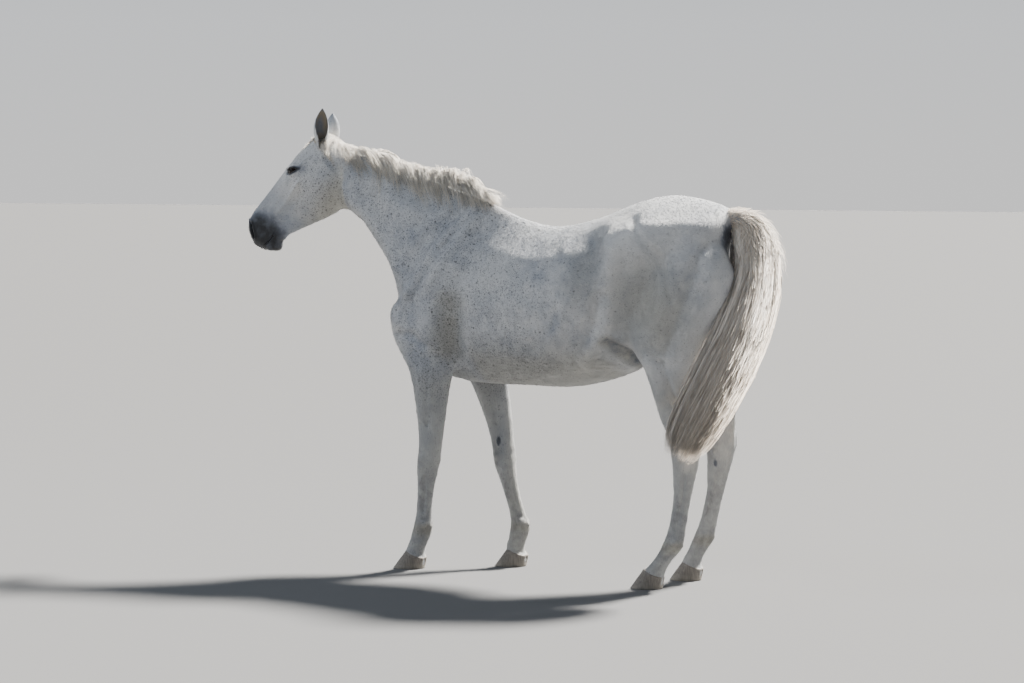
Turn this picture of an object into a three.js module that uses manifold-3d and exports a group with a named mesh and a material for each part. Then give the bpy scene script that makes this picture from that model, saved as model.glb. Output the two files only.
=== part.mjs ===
// A standing horse, life size, in millimetres. +Z is up, the horse faces -Y and its left side is +X.
// The body is lofted whole, joined, and then parted with thin plane cuts into named pieces.
import * as THREE from 'three';
import { mergeVertices } from 'three/addons/utils/BufferGeometryUtils.js';
import Module from 'manifold-3d';

const wasm = await Module();
wasm.setup();

// ---------------------------------------------------------------- driving dimensions
const gap = 0.3;                    // clearance between neighbouring pieces
const reach = 3000;                 // half size of the cutting blocks, beyond the whole body
const bodySides = 20;               // points round a body ring
const headSides = 24;               // points round a head ring
const legSides = 14;                // points round a leg ring
const neckTurn = THREE.MathUtils.degToRad(10);   // the head is turned this far to the left
const turnStart = 40;               // the turn begins here, at the base of the neck
const turnLength = 450;             // and is spread over this much of the neck
const poll = { y: -556, z: 1832 };  // top of the head, between the ears
const headPitch = THREE.MathUtils.degToRad(52);  // the nose points this far below level
const eyeRadius = 21;
const eyeSides = 10;
const nostrilSides = 8;
const eyePlace = { x: 84, s: 166, h: -4 };       // in the head's own frame, see headPoint
const nostril = {
  place: { x: 55, s: 508, h: 22 },               // in the head's own frame
  radii: { x: 22, s: 19, h: 10 },
  tilt: 0.75,                                    // radians, its upper end leans back
};

// Levels on a body section, from its lowest point (0) to its highest (1), where half widths are given.
const sectionLevels = [0.06, 0.25, 0.5, 0.75, 0.94];

// Neck and trunk, from the poll back to the dock. Each section is a slice from a point on the back
// line to a point on the belly line: [order, top y, top z, bottom y, bottom z, five half widths].
const bodySections = [
  [0, -572, 1792, -470, 1538, 34, 58, 62, 50, 24],      // poll
  [1, -486, 1797, -388, 1510, 38, 66, 70, 54, 27],      // throat
  [2, -328, 1766, -293, 1402, 48, 82, 84, 62, 31],      // middle of the neck
  [3, -140, 1708, -200, 1268, 64, 110, 116, 82, 35],    // lower neck
  [4, 30, 1650, -154, 1150, 90, 155, 158, 104, 38],     // base of the neck
  [5, 150, 1614, -140, 1020, 100, 178, 185, 122, 38],   // chest
  [6, 225, 1597, -75, 925, 106, 190, 203, 134, 36],     // withers
  [7, 320, 1561, 90, 815, 94, 186, 220, 156, 40],       // girth
  [8, 440, 1510, 300, 792, 100, 210, 250, 186, 54],     // behind the elbow
  [9, 560, 1479, 480, 794, 122, 246, 282, 218, 76],     // back
  [10, 680, 1479, 670, 793, 130, 263, 300, 240, 94],    // barrel
  [11, 850, 1519, 850, 824, 125, 256, 296, 252, 104],   // loin
  [12, 1010, 1572, 1010, 880, 110, 228, 275, 264, 110], // point of the hip
  [13, 1160, 1600, 1140, 970, 98, 196, 246, 252, 98],   // croup
  [14, 1300, 1586, 1275, 1110, 86, 165, 208, 210, 76],  // rump
  [15, 1400, 1560, 1380, 1215, 66, 120, 150, 148, 54],  // buttock
  [16, 1452, 1532, 1435, 1310, 36, 64, 74, 68, 30],     // dock
];
const ringsPerSection = 2;

// Mane: [place among the body sections, rise over the crest, fall down the left side of the neck].
const maneSizes = [
  [0.1, 28, 30],
  [0.5, 52, 70],
  [1.2, 42, 100],
  [2.3, 38, 140],
  [3.3, 40, 130],
  [4.5, 56, 118],
  [5.5, 42, 90],
  [6.4, 40, 58],
  [6.85, 16, 22],
];
const maneRings = 14;
// Outline of a mane slice: points on the crest as [x, share of the rise], then points down the neck's
// left side as [share of the fall, offset from the skin]. Negative shares and offsets are inside the neck.
const maneCrest = [[-12, 0.6], [0, 1], [14, 0.8], [30, 0.3]];
const maneSide = [[0.2, 30], [0.5, 33], [0.8, 29], [1, 18], [0.9, -12], [0.4, -12]];
const maneRoot = { x: -16, drop: 12 };           // where the slice starts, right of the crest

// Forelock: a flat lock on the forehead that thins from its root to its tip.
const forelock = {
  start: 10,                                     // distance along the nose, from the poll
  length: 120,
  shift: 4,                                      // to the left
  sunk: 2,                                       // below the face line
  half: [26, 12],                                // half width at root and tip
  thick: [15, 5],                                // half thickness at root and tip
  rings: 5,
  sides: 8,
};

// Head, from behind the poll to the lips, in its own frame: [distance along the nose, height of the
// face line, height of the jaw line, five half widths].
const headSections = [
  [-40, -6, -212, 36, 58, 64, 50, 24],     // inside the neck
  [15, 30, -250, 42, 68, 78, 68, 36],      // between the ears
  [80, 46, -274, 42, 72, 88, 86, 48],      // temple and back of the jaw
  [145, 54, -266, 34, 70, 94, 98, 57],     // jaw joint and eyes
  [205, 56, -250, 29, 66, 90, 99, 60],     // below the eyes
  [255, 58, -226, 25, 57, 82, 88, 54],     // facial crest
  [320, 62, -189, 23, 47, 66, 66, 44],     // end of the facial crest
  [385, 66, -152, 22, 41, 55, 53, 38],     // bars of the jaw
  [435, 68, -124, 23, 40, 49, 48, 36],     // corner of the mouth
  [476, 66, -124, 29, 43, 53, 55, 37],     // chin groove and nostrils
  [508, 55, -130, 32, 45, 55, 56, 33],     // chin and nostrils
  [537, 32, -108, 26, 40, 47, 44, 24],     // lips
  [556, 0, -70, 12, 22, 26, 22, 11],       // front of the upper lip
];
const headRingStep = 33;

// Half sizes of a leg by height: [height, fore-and-aft half, side-to-side half, narrowing to the rear].
const foreSizes = [
  [1470, 84, 22, 0],
  [1400, 132, 54, 0],
  [1300, 175, 78, 0],
  [1200, 208, 85, 0],
  [1110, 235, 90, 0],
  [1000, 196, 87, 0.1],
  [920, 148, 77, 0.15],
  [860, 114, 67, 0.2],
  [780, 92, 57, 0.2],
  [700, 78, 50, 0.15],
  [620, 65, 45, 0.1],
  [560, 57, 43, 0],
  [500, 53, 46, 0],
  [450, 50, 48, 0.1],
  [405, 46, 45, 0.2],
  [360, 41, 36, 0.2],
  [300, 38.5, 29, 0.1],
  [240, 38.5, 28, 0.1],
  [200, 43, 32, 0.1],
  [170, 47, 36, 0.1],
  [145, 47, 36, 0.1],
  [115, 44, 34, 0.1],
  [90, 45, 38, 0.1],
  [30, 54, 48, 0.1],
];
const hindSizes = [
  [1490, 105, 66, 0],
  [1400, 222, 116, 0],
  [1280, 258, 131, 0.1],
  [1150, 243, 127, 0.1],
  [1050, 214, 113, 0.1],
  [970, 169, 97, 0.15],
  [900, 137, 83, 0.2],
  [830, 121, 69, 0.3],
  [760, 104, 57, 0.4],
  [700, 91, 49, 0.5],
  [650, 78, 44, 0.5],
  [605, 72, 43, 0.4],
  [560, 69, 44, 0.3],
  [510, 60, 42, 0.2],
  [460, 50, 36, 0.15],
  [400, 43, 30, 0.1],
  [340, 40, 28, 0.1],
  [270, 40, 28, 0.1],
  [225, 43, 31, 0.1],
  [190, 47, 36, 0.1],
  [160, 46, 36, 0.1],
  [130, 42, 34, 0.1],
  [100, 42, 37, 0.1],
  [30, 54, 46, 0.1],
];

// Centre line of each leg by height: [height, y, distance from the middle of the body].
const legLines = {
  foreleg_left: {
    side: 1, sizes: foreSizes,
    line: [[1470, 222, 52], [1300, 185, 95], [1100, 95, 134], [980, 68, 145], [860, 76, 147],
      [700, 76, 148], [560, 73, 149], [450, 61, 149], [360, 49, 149], [240, 37, 149],
      [170, 30, 149], [120, 12, 149], [30, -28, 149]],
    hoof: { y: -39, length: 142, width: 134, coronetFront: 82, coronetHeel: 46, wall: 51 },
  },
  foreleg_right: {
    side: -1, sizes: foreSizes,
    line: [[1470, 232, 52], [1300, 195, 95], [1100, 110, 134], [980, 105, 143], [860, 150, 144],
      [780, 186, 143], [700, 213, 142], [600, 240, 141], [510, 258, 140], [425, 270, 140],
      [365, 286, 140], [288, 308, 140], [205, 337, 140], [165, 342, 140], [120, 330, 140],
      [30, 300, 140]],
    hoof: { y: 295, length: 142, width: 134, coronetFront: 82, coronetHeel: 46, wall: 52 },
  },
  hindleg_left: {
    side: 1, sizes: hindSizes,
    line: [[1490, 1190, 100], [1400, 1230, 100], [1280, 1254, 110], [1150, 1243, 120],
      [1050, 1215, 132], [970, 1230, 145], [900, 1254, 147], [830, 1264, 146], [700, 1274, 142],
      [605, 1299, 138], [510, 1299, 135], [400, 1287, 133], [340, 1277, 132], [270, 1264, 131],
      [190, 1241, 129], [150, 1217, 128], [105, 1178, 126], [30, 1128, 125]],
    hoof: { y: 1114, length: 138, width: 126, coronetFront: 84, coronetHeel: 48, wall: 53 },
  },
  hindleg_right: {
    side: -1, sizes: hindSizes,
    line: [[1490, 1190, 100], [1400, 1230, 100], [1280, 1254, 110], [1150, 1243, 120],
      [1050, 1215, 134], [970, 1234, 150], [900, 1260, 155], [830, 1275, 159], [700, 1286, 162],
      [605, 1303, 164], [510, 1298, 165], [400, 1281, 166], [340, 1267, 167], [270, 1250, 167],
      [190, 1225, 168], [150, 1205, 168], [105, 1178, 168], [30, 1140, 168]],
    hoof: { y: 1136, length: 138, width: 126, coronetFront: 84, coronetHeel: 48, wall: 53 },
  },
};
const hoofSides = 16;
const hoofRings = 2;
const coronetShare = 0.76;          // width at the coronet over width at the ground
const heelNarrowing = 0.12;         // how much the hoof draws in towards its heels
const heelLean = 0.3;               // slope of the heel over the slope of the toe wall

// Tail: [order, x, y, z, half width across the hair, half thickness].
const tailSections = [
  [0, 0, 1390, 1500, 34, 34],
  [1, 0, 1470, 1510, 40, 38],
  [2, 6, 1548, 1478, 56, 46],
  [3, 22, 1590, 1370, 72, 54],
  [4, 65, 1580, 1200, 98, 55],
  [5, 124, 1535, 1030, 115, 55],
  [6, 184, 1478, 870, 121, 53],
  [7, 232, 1416, 730, 112, 46],
  [8, 262, 1364, 620, 84, 34],
  [9, 272, 1332, 545, 32, 14],
];
const tailRingsPerSection = 2;
const tailLook = 0.25;              // the tail's direction is taken this far ahead and behind
const tailSides = 12;
const tailFacing = THREE.MathUtils.degToRad(32);   // the broad side faces left and this far back

// Each ear: base, tip, and the heading of its open side, measured from straight ahead to the left.
const ears = {
  ear_left: { base: [50, -536, 1816], tip: [62, -524, 1970], opening: 122 },
  ear_right: { base: [-50, -536, 1816], tip: [-58, -532, 1952], opening: -60 },
};
const earWall = 5;
const earSides = 10;
const earRings = 7;
const earHollow = { shift: 0.75, from: 0.24, to: 0.95 };   // towards the open side, along the ear
// Half width and half depth along an ear, from base to tip: [fraction, half width, half depth].
const earSizes = [
  [0, 25, 24],
  [0.2, 29, 26],
  [0.45, 32, 24],
  [0.7, 25, 17],
  [0.88, 13, 9],
  [1, 3, 3],
];

// ---------------------------------------------------------------- colours
const finishes = {
  coat: { color: 0xc9c8c4, roughness: 0.85, metalness: 0 },
  hair: { color: 0xe6ddcb, roughness: 0.7, metalness: 0 },
  hoof: { color: 0x4f4a45, roughness: 0.55, metalness: 0 },
  eye: { color: 0x15110f, roughness: 0.08, metalness: 0 },
  ear: { color: 0xaaa49d, roughness: 0.85, metalness: 0 },
};

// ---------------------------------------------------------------- tables and rings
// Every column of a table at a key in its first column, on a smooth curve through the rows.
function readTable(rows, key) {
  const rising = rows[1][0] > rows[0][0];
  let i = 0;
  while (i < rows.length - 2 && (rising ? rows[i + 1][0] <= key : rows[i + 1][0] >= key)) {
    i += 1;
  }
  const from = rows[i];
  const to = rows[i + 1];
  const before = rows[Math.max(i - 1, 0)];
  const after = rows[Math.min(i + 2, rows.length - 1)];
  const span = to[0] - from[0];
  const t = (key - from[0]) / span;
  return from.map((value, column) => {
    const slopeFrom = (to[column] - before[column]) / (to[0] - before[0]) * span;
    const slopeTo = (after[column] - from[column]) / (after[0] - from[0]) * span;
    const a = 2 * t ** 3 - 3 * t ** 2 + 1;
    const b = t ** 3 - 2 * t ** 2 + t;
    const c = -2 * t ** 3 + 3 * t ** 2;
    const d = t ** 3 - t ** 2;
    return a * value + b * slopeFrom + c * to[column] + d * slopeTo;
  });
}

// Closed ring of a section that is mirrored left to right, from its lowest point round to the left.
function mirroredRing(bottom, top, halves, sides) {
  const left = [];
  const right = [];
  sectionLevels.forEach((level, i) => {
    const middle = bottom.clone().lerp(top, level);
    left.push(new THREE.Vector3(halves[i], middle.y, middle.z));
    right.unshift(new THREE.Vector3(-halves[i], middle.y, middle.z));
  });
  const curve = new THREE.CatmullRomCurve3([bottom, ...left, top, ...right], true);
  return curve.getPoints(sides).slice(0, sides);
}

// Closed body through rings of equal counts, with a fan of triangles over each end.
function loft(rings) {
  const count = rings[0].length;
  const points = rings.flat();
  const faces = [];
  for (let r = 0; r < rings.length - 1; r += 1) {
    for (let k = 0; k < count; k += 1) {
      const a = r * count + k;
      const b = r * count + (k + 1) % count;
      faces.push(a, b, b + count, a, b + count, a + count);
    }
  }
  [0, rings.length - 1].forEach((r) => {
    const middle = new THREE.Vector3();
    rings[r].forEach((point) => middle.addScaledVector(point, 1 / count));
    points.push(middle);
    for (let k = 0; k < count; k += 1) {
      const edge = [r * count + k, r * count + (k + 1) % count];
      if (r === 0) {
        edge.reverse();
      }
      faces.push(edge[0], edge[1], points.length - 1);
    }
  });
  return facesOut(points, faces);
}

// Geometry from points and faces, turned inside out if its volume would be negative.
function facesOut(points, faces) {
  let volume = 0;
  for (let i = 0; i < faces.length; i += 3) {
    const [a, b, c] = [points[faces[i]], points[faces[i + 1]], points[faces[i + 2]]];
    volume += a.dot(new THREE.Vector3().crossVectors(b, c));
  }
  const geometry = new THREE.BufferGeometry();
  geometry.setAttribute('position', new THREE.Float32BufferAttribute(points.flatMap((p) => [...p]), 3));
  geometry.setIndex(volume < 0 ? faces.reverse() : faces);
  return geometry;
}

// ---------------------------------------------------------------- solids
function solidOf(geometry) {
  const bare = geometry.clone();
  bare.deleteAttribute('normal');
  bare.deleteAttribute('uv');
  const merged = mergeVertices(bare, 1e-3);
  const vertProperties = new Float32Array(merged.attributes.position.array);
  const triVerts = new Uint32Array(merged.index.array);
  return new wasm.Manifold(new wasm.Mesh({ numProp: 3, vertProperties, triVerts }));
}

function geometryOf(solid) {
  const mesh = solid.getMesh();
  const geometry = new THREE.BufferGeometry();
  geometry.setAttribute('position', new THREE.BufferAttribute(new Float32Array(mesh.vertProperties), 3));
  geometry.setIndex(new THREE.BufferAttribute(new Uint32Array(mesh.triVerts), 1));
  return geometry;
}

function join(solids) {
  return solids.reduce((whole, solid) => whole.add(solid));
}

// The same closed geometry with its surface moved out along its normals.
function grown(geometry, distance) {
  const copy = mergeVertices(geometry.clone(), 1e-3);
  copy.computeVertexNormals();
  const position = copy.attributes.position;
  const normal = copy.attributes.normal;
  for (let i = 0; i < position.count; i += 1) {
    position.setXYZ(i,
      position.getX(i) + normal.getX(i) * distance,
      position.getY(i) + normal.getY(i) * distance,
      position.getZ(i) + normal.getZ(i) * distance);
  }
  return copy;
}

// Block whose side view is a polygon of [y, z] corners, from x = low to x = high.
function sideBlock(corners, low, high) {
  const shape = new THREE.Shape(corners.map(([y, z]) => new THREE.Vector2(y, z)));
  const block = new THREE.ExtrudeGeometry(shape, { depth: high - low, bevelEnabled: false });
  block.applyMatrix4(new THREE.Matrix4().makeBasis(
    new THREE.Vector3(0, 1, 0), new THREE.Vector3(0, 0, 1), new THREE.Vector3(1, 0, 0)));
  block.translate(low, 0, 0);
  return solidOf(block);
}

// Block on one side of the line through two points of the side view, clear of it by half the gap.
function sideOfLine([y0, z0], [y1, z1], low = -reach, high = reach) {
  const along = new THREE.Vector2(y1 - y0, z1 - z0).normalize();
  const left = new THREE.Vector2(-along.y, along.x);
  const corner = (a, l) => [y0 + along.x * a + left.x * l, z0 + along.y * a + left.y * l];
  return sideBlock([corner(-reach, gap / 2), corner(reach, gap / 2), corner(reach, reach),
    corner(-reach, reach)], low, high);
}

// ---------------------------------------------------------------- the turn of neck and head
function turned(point) {
  const run = turnStart - point.y;
  if (run <= 0) {
    return point.clone();
  }
  const arc = Math.min(run, turnLength);
  const angle = neckTurn * arc / turnLength;
  const radius = turnLength / neckTurn;
  const straight = run - arc;
  const x = radius * (1 - Math.cos(angle)) + straight * Math.sin(angle);
  const y = turnStart - radius * Math.sin(angle) - straight * Math.cos(angle);
  return new THREE.Vector3(x + point.x * Math.cos(angle), y + point.x * Math.sin(angle), point.z);
}

function turnedGeometry(geometry) {
  const copy = geometry.clone();
  const position = copy.attributes.position;
  const point = new THREE.Vector3();
  for (let i = 0; i < position.count; i += 1) {
    const moved = turned(point.fromBufferAttribute(position, i));
    position.setXYZ(i, moved.x, moved.y, moved.z);
  }
  return copy;
}

// ---------------------------------------------------------------- body, head and legs
function bodyLoft() {
  const rings = [];
  const steps = (bodySections.length - 1) * ringsPerSection;
  for (let i = 0; i <= steps; i += 1) {
    const [, topY, topZ, bottomY, bottomZ, ...halves] = readTable(bodySections, i / ringsPerSection);
    const bottom = new THREE.Vector3(0, bottomY, bottomZ);
    const top = new THREE.Vector3(0, topY, topZ);
    rings.push(mirroredRing(bottom, top, halves, bodySides));
  }
  return turnedGeometry(loft(rings));
}

// A point given in the head's own frame: x to the left, s along the nose, h up from the nose line.
function headPoint(x, s, h) {
  const y = poll.y - Math.cos(headPitch) * s - Math.sin(headPitch) * h;
  const z = poll.z - Math.sin(headPitch) * s + Math.cos(headPitch) * h;
  return new THREE.Vector3(x, y, z);
}

function headLoft() {
  const rings = [];
  const first = headSections[0][0];
  const last = headSections[headSections.length - 1][0];
  const steps = Math.round((last - first) / headRingStep);
  for (let i = 0; i <= steps; i += 1) {
    const s = first + (last - first) * i / steps;
    const [, face, jaw, ...halves] = readTable(headSections, s);
    rings.push(mirroredRing(headPoint(0, s, jaw), headPoint(0, s, face), halves, headSides));
  }
  return turnedGeometry(loft(rings));
}

// Ball stretched along the head's own axes.
function headBall(place, radii, tilt, sides) {
  const ball = new THREE.SphereGeometry(1, sides, sides / 2 + 2);
  ball.scale(radii.x, radii.s, radii.h);
  ball.rotateX(tilt);
  ball.applyMatrix4(new THREE.Matrix4().makeBasis(
    new THREE.Vector3(1, 0, 0),
    new THREE.Vector3(0, -Math.cos(headPitch), -Math.sin(headPitch)),
    new THREE.Vector3(0, -Math.sin(headPitch), Math.cos(headPitch))));
  const centre = headPoint(place.x, place.s, place.h);
  ball.translate(centre.x, centre.y, centre.z);
  const indexed = mergeVertices(positionOnly(ball), 1e-3);
  return turnedGeometry(withFacesOut(indexed));
}

function positionOnly(geometry) {
  const bare = geometry.clone();
  bare.deleteAttribute('normal');
  bare.deleteAttribute('uv');
  return bare;
}

function withFacesOut(geometry) {
  const points = [];
  for (let i = 0; i < geometry.attributes.position.count; i += 1) {
    points.push(new THREE.Vector3().fromBufferAttribute(geometry.attributes.position, i));
  }
  return facesOut(points, [...geometry.index.array]);
}

function legLoft({ side, sizes, line }) {
  const rings = sizes.map(([z, fore, across, narrowing]) => {
    const [, y, x] = readTable(line, z);
    const ring = [];
    for (let k = 0; k < legSides; k += 1) {
      const angle = 2 * Math.PI * k / legSides;
      const back = Math.sin(angle);
      const out = Math.cos(angle) * (1 - narrowing * Math.max(back, 0));
      ring.push(new THREE.Vector3(side * x + out * across, y + back * fore, z));
    }
    return ring;
  });
  return loft(rings);
}

// ---------------------------------------------------------------- hooves
// The coronet is a tilted plane: higher in front than at the heel.
function coronetLine({ hoof }) {
  const lean = 1 / Math.tan(THREE.MathUtils.degToRad(hoof.wall));
  const toe = hoof.y - hoof.length / 2;
  const front = [toe + hoof.coronetFront * lean, hoof.coronetFront];
  const heel = [hoof.y + hoof.length / 2 + hoof.coronetHeel * lean * heelLean, hoof.coronetHeel];
  return { toe, front, heel };
}

function hoofGeometry(leg) {
  const { hoof, side, line } = leg;
  const { toe, front, heel } = coronetLine(leg);
  const x = side * line[line.length - 1][2];
  const groundHeel = hoof.y + hoof.length / 2;
  const coronetWidth = hoof.width * coronetShare;
  const rings = [];
  for (let r = 0; r <= hoofRings; r += 1) {
    const up = r / hoofRings;
    const frontY = toe + (front[0] - toe) * up;
    const heelY = groundHeel + (heel[0] - groundHeel) * up;
    const half = (hoof.width + (coronetWidth - hoof.width) * up) / 2;
    const middle = (frontY + heelY) / 2;
    const ring = [];
    for (let k = 0; k < hoofSides; k += 1) {
      const angle = 2 * Math.PI * k / hoofSides;
      const back = Math.sin(angle);
      const out = Math.cos(angle) * (1 - heelNarrowing * Math.max(back, 0));
      const y = middle + back * (heelY - frontY) / 2;
      const z = up * (front[1] + (heel[1] - front[1]) * (y - frontY) / (heelY - frontY));
      ring.push(new THREE.Vector3(x + out * half, y, z));
    }
    rings.push(ring);
  }
  return loft(rings);
}

// ---------------------------------------------------------------- ears
// One ear's outline between two fractions of its length, made smaller and moved to its open side.
function earLoft({ base, tip, opening }, { shrink, shift, from, to }) {
  const foot = new THREE.Vector3(...base);
  const axis = new THREE.Vector3(...tip).sub(foot);
  const heading = THREE.MathUtils.degToRad(opening);
  const open = new THREE.Vector3(Math.sin(heading), -Math.cos(heading), 0);
  open.addScaledVector(axis, -open.dot(axis) / axis.lengthSq()).normalize();
  const across = new THREE.Vector3().crossVectors(axis, open).normalize();
  const rings = [];
  for (let i = 0; i <= earRings; i += 1) {
    const t = from + (to - from) * i / earRings;
    const [, width, depth] = readTable(earSizes, t);
    const halfWidth = Math.max(width - shrink, 1);
    const halfDepth = Math.max(depth - shrink, 1);
    const ring = [];
    for (let k = 0; k < earSides; k += 1) {
      const angle = 2 * Math.PI * k / earSides;
      ring.push(foot.clone()
        .addScaledVector(axis, t)
        .addScaledVector(across, Math.cos(angle) * halfWidth)
        .addScaledVector(open, Math.sin(angle) * halfDepth + shift * depth));
    }
    rings.push(ring);
  }
  return turnedGeometry(loft(rings));
}

function wholeEar(ear) {
  return earLoft(ear, { shrink: 0, shift: 0, from: 0, to: 1 });
}

function earSolid(ear) {
  const hollow = solidOf(earLoft(ear, { shrink: earWall, ...earHollow }));
  return solidOf(wholeEar(ear)).subtract(hollow);
}

// ---------------------------------------------------------------- mane, forelock and tail
// Half width of the neck at a drop below its crest.
function neckHalf(section, drop) {
  const [, topY, topZ, bottomY, bottomZ, ...halves] = section;
  const level = 1 - drop / Math.hypot(topY - bottomY, topZ - bottomZ);
  const rows = [[0, 0], ...sectionLevels.map((at, i) => [at, halves[i]]), [1, 0]];
  return readTable(rows, Math.max(level, 0))[1];
}

function maneLoft() {
  const rings = [];
  const first = maneSizes[0][0];
  const last = maneSizes[maneSizes.length - 1][0];
  for (let i = 0; i <= maneRings; i += 1) {
    const place = first + (last - first) * i / maneRings;
    const [, rise, fall] = readTable(maneSizes, place);
    const section = readTable(bodySections, place);
    const [, topY, topZ, bottomY, bottomZ] = section;
    const down = new THREE.Vector2(bottomY - topY, bottomZ - topZ).normalize();
    const at = (x, drop) => new THREE.Vector3(x, topY + down.x * drop, topZ + down.y * drop);
    rings.push([
      at(maneRoot.x, maneRoot.drop),
      ...maneCrest.map(([x, share]) => at(x, -rise * share)),
      ...maneSide.map(([share, offset]) => at(neckHalf(section, fall * share) + offset, fall * share)),
    ]);
  }
  return turnedGeometry(loft(rings));
}

function forelockLoft() {
  const { start, length, shift, sunk, half, thick, sides } = forelock;
  const rings = [];
  for (let i = 0; i <= forelock.rings; i += 1) {
    const along = i / forelock.rings;
    const s = start + length * along;
    const face = readTable(headSections, s)[1];
    const width = half[0] + (half[1] - half[0]) * along;
    const depth = thick[0] + (thick[1] - thick[0]) * along;
    const ring = [];
    for (let k = 0; k < sides; k += 1) {
      const angle = 2 * Math.PI * k / sides;
      ring.push(headPoint(shift + Math.cos(angle) * width, s, face - sunk + Math.sin(angle) * depth));
    }
    rings.push(ring);
  }
  return turnedGeometry(loft(rings));
}

function tailLoft() {
  const rings = [];
  const steps = (tailSections.length - 1) * tailRingsPerSection;
  const centre = (order) => {
    const [, x, y, z] = readTable(tailSections, order);
    return new THREE.Vector3(x, y, z);
  };
  for (let i = 0; i <= steps; i += 1) {
    const order = i / tailRingsPerSection;
    const [, , , , half, thick] = readTable(tailSections, order);
    const ahead = centre(Math.min(order + tailLook, tailSections.length - 1));
    const along = ahead.sub(centre(Math.max(order - tailLook, 0))).normalize();
    const outward = new THREE.Vector3(Math.cos(tailFacing), Math.sin(tailFacing), 0);
    const across = new THREE.Vector3().crossVectors(along, outward).normalize();
    const through = new THREE.Vector3().crossVectors(across, along).normalize();
    const middle = centre(order);
    const ring = [];
    for (let k = 0; k < tailSides; k += 1) {
      const angle = 2 * Math.PI * k / tailSides;
      ring.push(middle.clone()
        .addScaledVector(across, Math.cos(angle) * half)
        .addScaledVector(through, Math.sin(angle) * thick));
    }
    rings.push(ring);
  }
  return loft(rings);
}

// ---------------------------------------------------------------- assembly
function eyeball(side, radius) {
  const place = { ...eyePlace, x: side * eyePlace.x };
  return headBall(place, { x: radius, s: radius, h: radius }, 0, eyeSides);
}

function cutNostrils(head) {
  let cut = head;
  [1, -1].forEach((side) => {
    const { place, radii, tilt } = nostril;
    const hollow = headBall({ ...place, x: side * place.x }, radii, tilt, nostrilSides);
    cut = cut.subtract(solidOf(hollow));
  });
  return cut;
}

function buildFlesh(body, head) {
  let face = cutNostrils(solidOf(head));
  [1, -1].forEach((side) => {
    face = face.subtract(solidOf(eyeball(side, eyeRadius + gap)));
  });
  const legs = Object.values(legLines).map((leg) => {
    const { front, heel } = coronetLine(leg);
    return solidOf(legLoft(leg)).intersect(sideOfLine(front, heel));
  });
  return join([solidOf(body), face, ...legs]);
}

// Polygon of [y, z] corners with every edge moved outward, its corners kept sharp.
function widened(corners, distance) {
  const count = corners.length;
  const area = corners.reduce((sum, [y, z], i) => {
    const [nextY, nextZ] = corners[(i + 1) % count];
    return sum + y * nextZ - nextY * z;
  }, 0);
  const turn = Math.sign(area);
  return corners.map(([y, z], i) => {
    const [beforeY, beforeZ] = corners[(i + count - 1) % count];
    const [afterY, afterZ] = corners[(i + 1) % count];
    const arrive = new THREE.Vector2(y - beforeY, z - beforeZ).normalize();
    const leave = new THREE.Vector2(afterY - y, afterZ - z).normalize();
    const miter = new THREE.Vector2(arrive.y + leave.y, -arrive.x - leave.x);
    const scale = turn * distance / (1 + arrive.dot(leave));
    return [y + miter.x * scale, z + miter.y * scale];
  });
}

function regionBlock({ corners, low, high }, margin) {
  return sideBlock(widened(corners, margin), low - margin, high + margin);
}

// ---------------------------------------------------------------- where the body is parted
// Each region is a polygon of [y, z] corners in the side view and a range of x. They are cut off the
// body in this order. A leg's region is cut again, level, at lowerTop.
const regions = {
  head: {
    corners: [[-1300, 2300], [-745, 2300], [-500, 1815], [-385, 1508], [-340, 1390], [-1300, 1000]],
    low: -reach,
    high: reach,
  },
  neck: {
    corners: [[-900, 2300], [330, 2300], [75, 1690], [-120, 1240], [-420, 1150], [-900, 1300]],
    low: -reach,
    high: reach,
  },
  foreleg_left: {
    corners: [[-400, -50], [205, -50], [205, 900], [-400, 985]],
    low: 62,
    high: reach,
    lowerTop: 402,
  },
  foreleg_right: {
    corners: [[-400, -50], [450, -50], [450, 700], [285, 782], [215, 900], [-400, 985]],
    low: -reach,
    high: -62,
    lowerTop: 402,
  },
  hindleg_left: {
    corners: [[1040, -50], [1560, -50], [1560, 1170], [1040, 896]],
    low: gap / 2,
    high: reach,
    lowerTop: 505,
  },
  hindleg_right: {
    corners: [[1040, -50], [1560, -50], [1560, 1170], [1040, 896]],
    low: -reach,
    high: -gap / 2,
    lowerTop: 505,
  },
};

const horse = new THREE.Group();

function addPiece(name, finish, solid) {
  const piece = new THREE.Mesh(geometryOf(solid), new THREE.MeshStandardMaterial(finishes[finish]));
  piece.name = name;
  horse.add(piece);
}

const body = bodyLoft();
const head = headLoft();
const bodyClearance = solidOf(grown(body, gap));
const headClearance = solidOf(grown(head, gap));
const legClearance = join(Object.values(legLines).map((leg) => solidOf(grown(legLoft(leg), gap))));

let rest = buildFlesh(body, head);
Object.entries(regions).forEach(([name, region]) => {
  const part = rest.intersect(regionBlock(region, 0));
  rest = rest.subtract(regionBlock(region, gap));
  if (region.lowerTop) {
    const cut = region.lowerTop;
    addPiece(`${name}_upper`, 'coat', part.intersect(sideOfLine([0, cut], [1, cut])));
    addPiece(`${name}_lower`, 'coat', part.intersect(sideOfLine([1, cut], [0, cut])));
  } else {
    addPiece(name, 'coat', part);
  }
});
addPiece('trunk', 'coat', rest);

Object.entries(legLines).forEach(([name, leg]) => {
  const { front, heel } = coronetLine(leg);
  addPiece(`hoof_${name}`, 'hoof', solidOf(hoofGeometry(leg)).intersect(sideOfLine(heel, front)));
});

addPiece('eye_left', 'eye', solidOf(eyeball(1, eyeRadius)));
addPiece('eye_right', 'eye', solidOf(eyeball(-1, eyeRadius)));

const earClearance = join(Object.values(ears).map((ear) => solidOf(grown(wholeEar(ear), gap))));
Object.entries(ears).forEach(([name, ear]) => {
  addPiece(name, 'ear', earSolid(ear).subtract(headClearance).subtract(bodyClearance));
});

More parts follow.
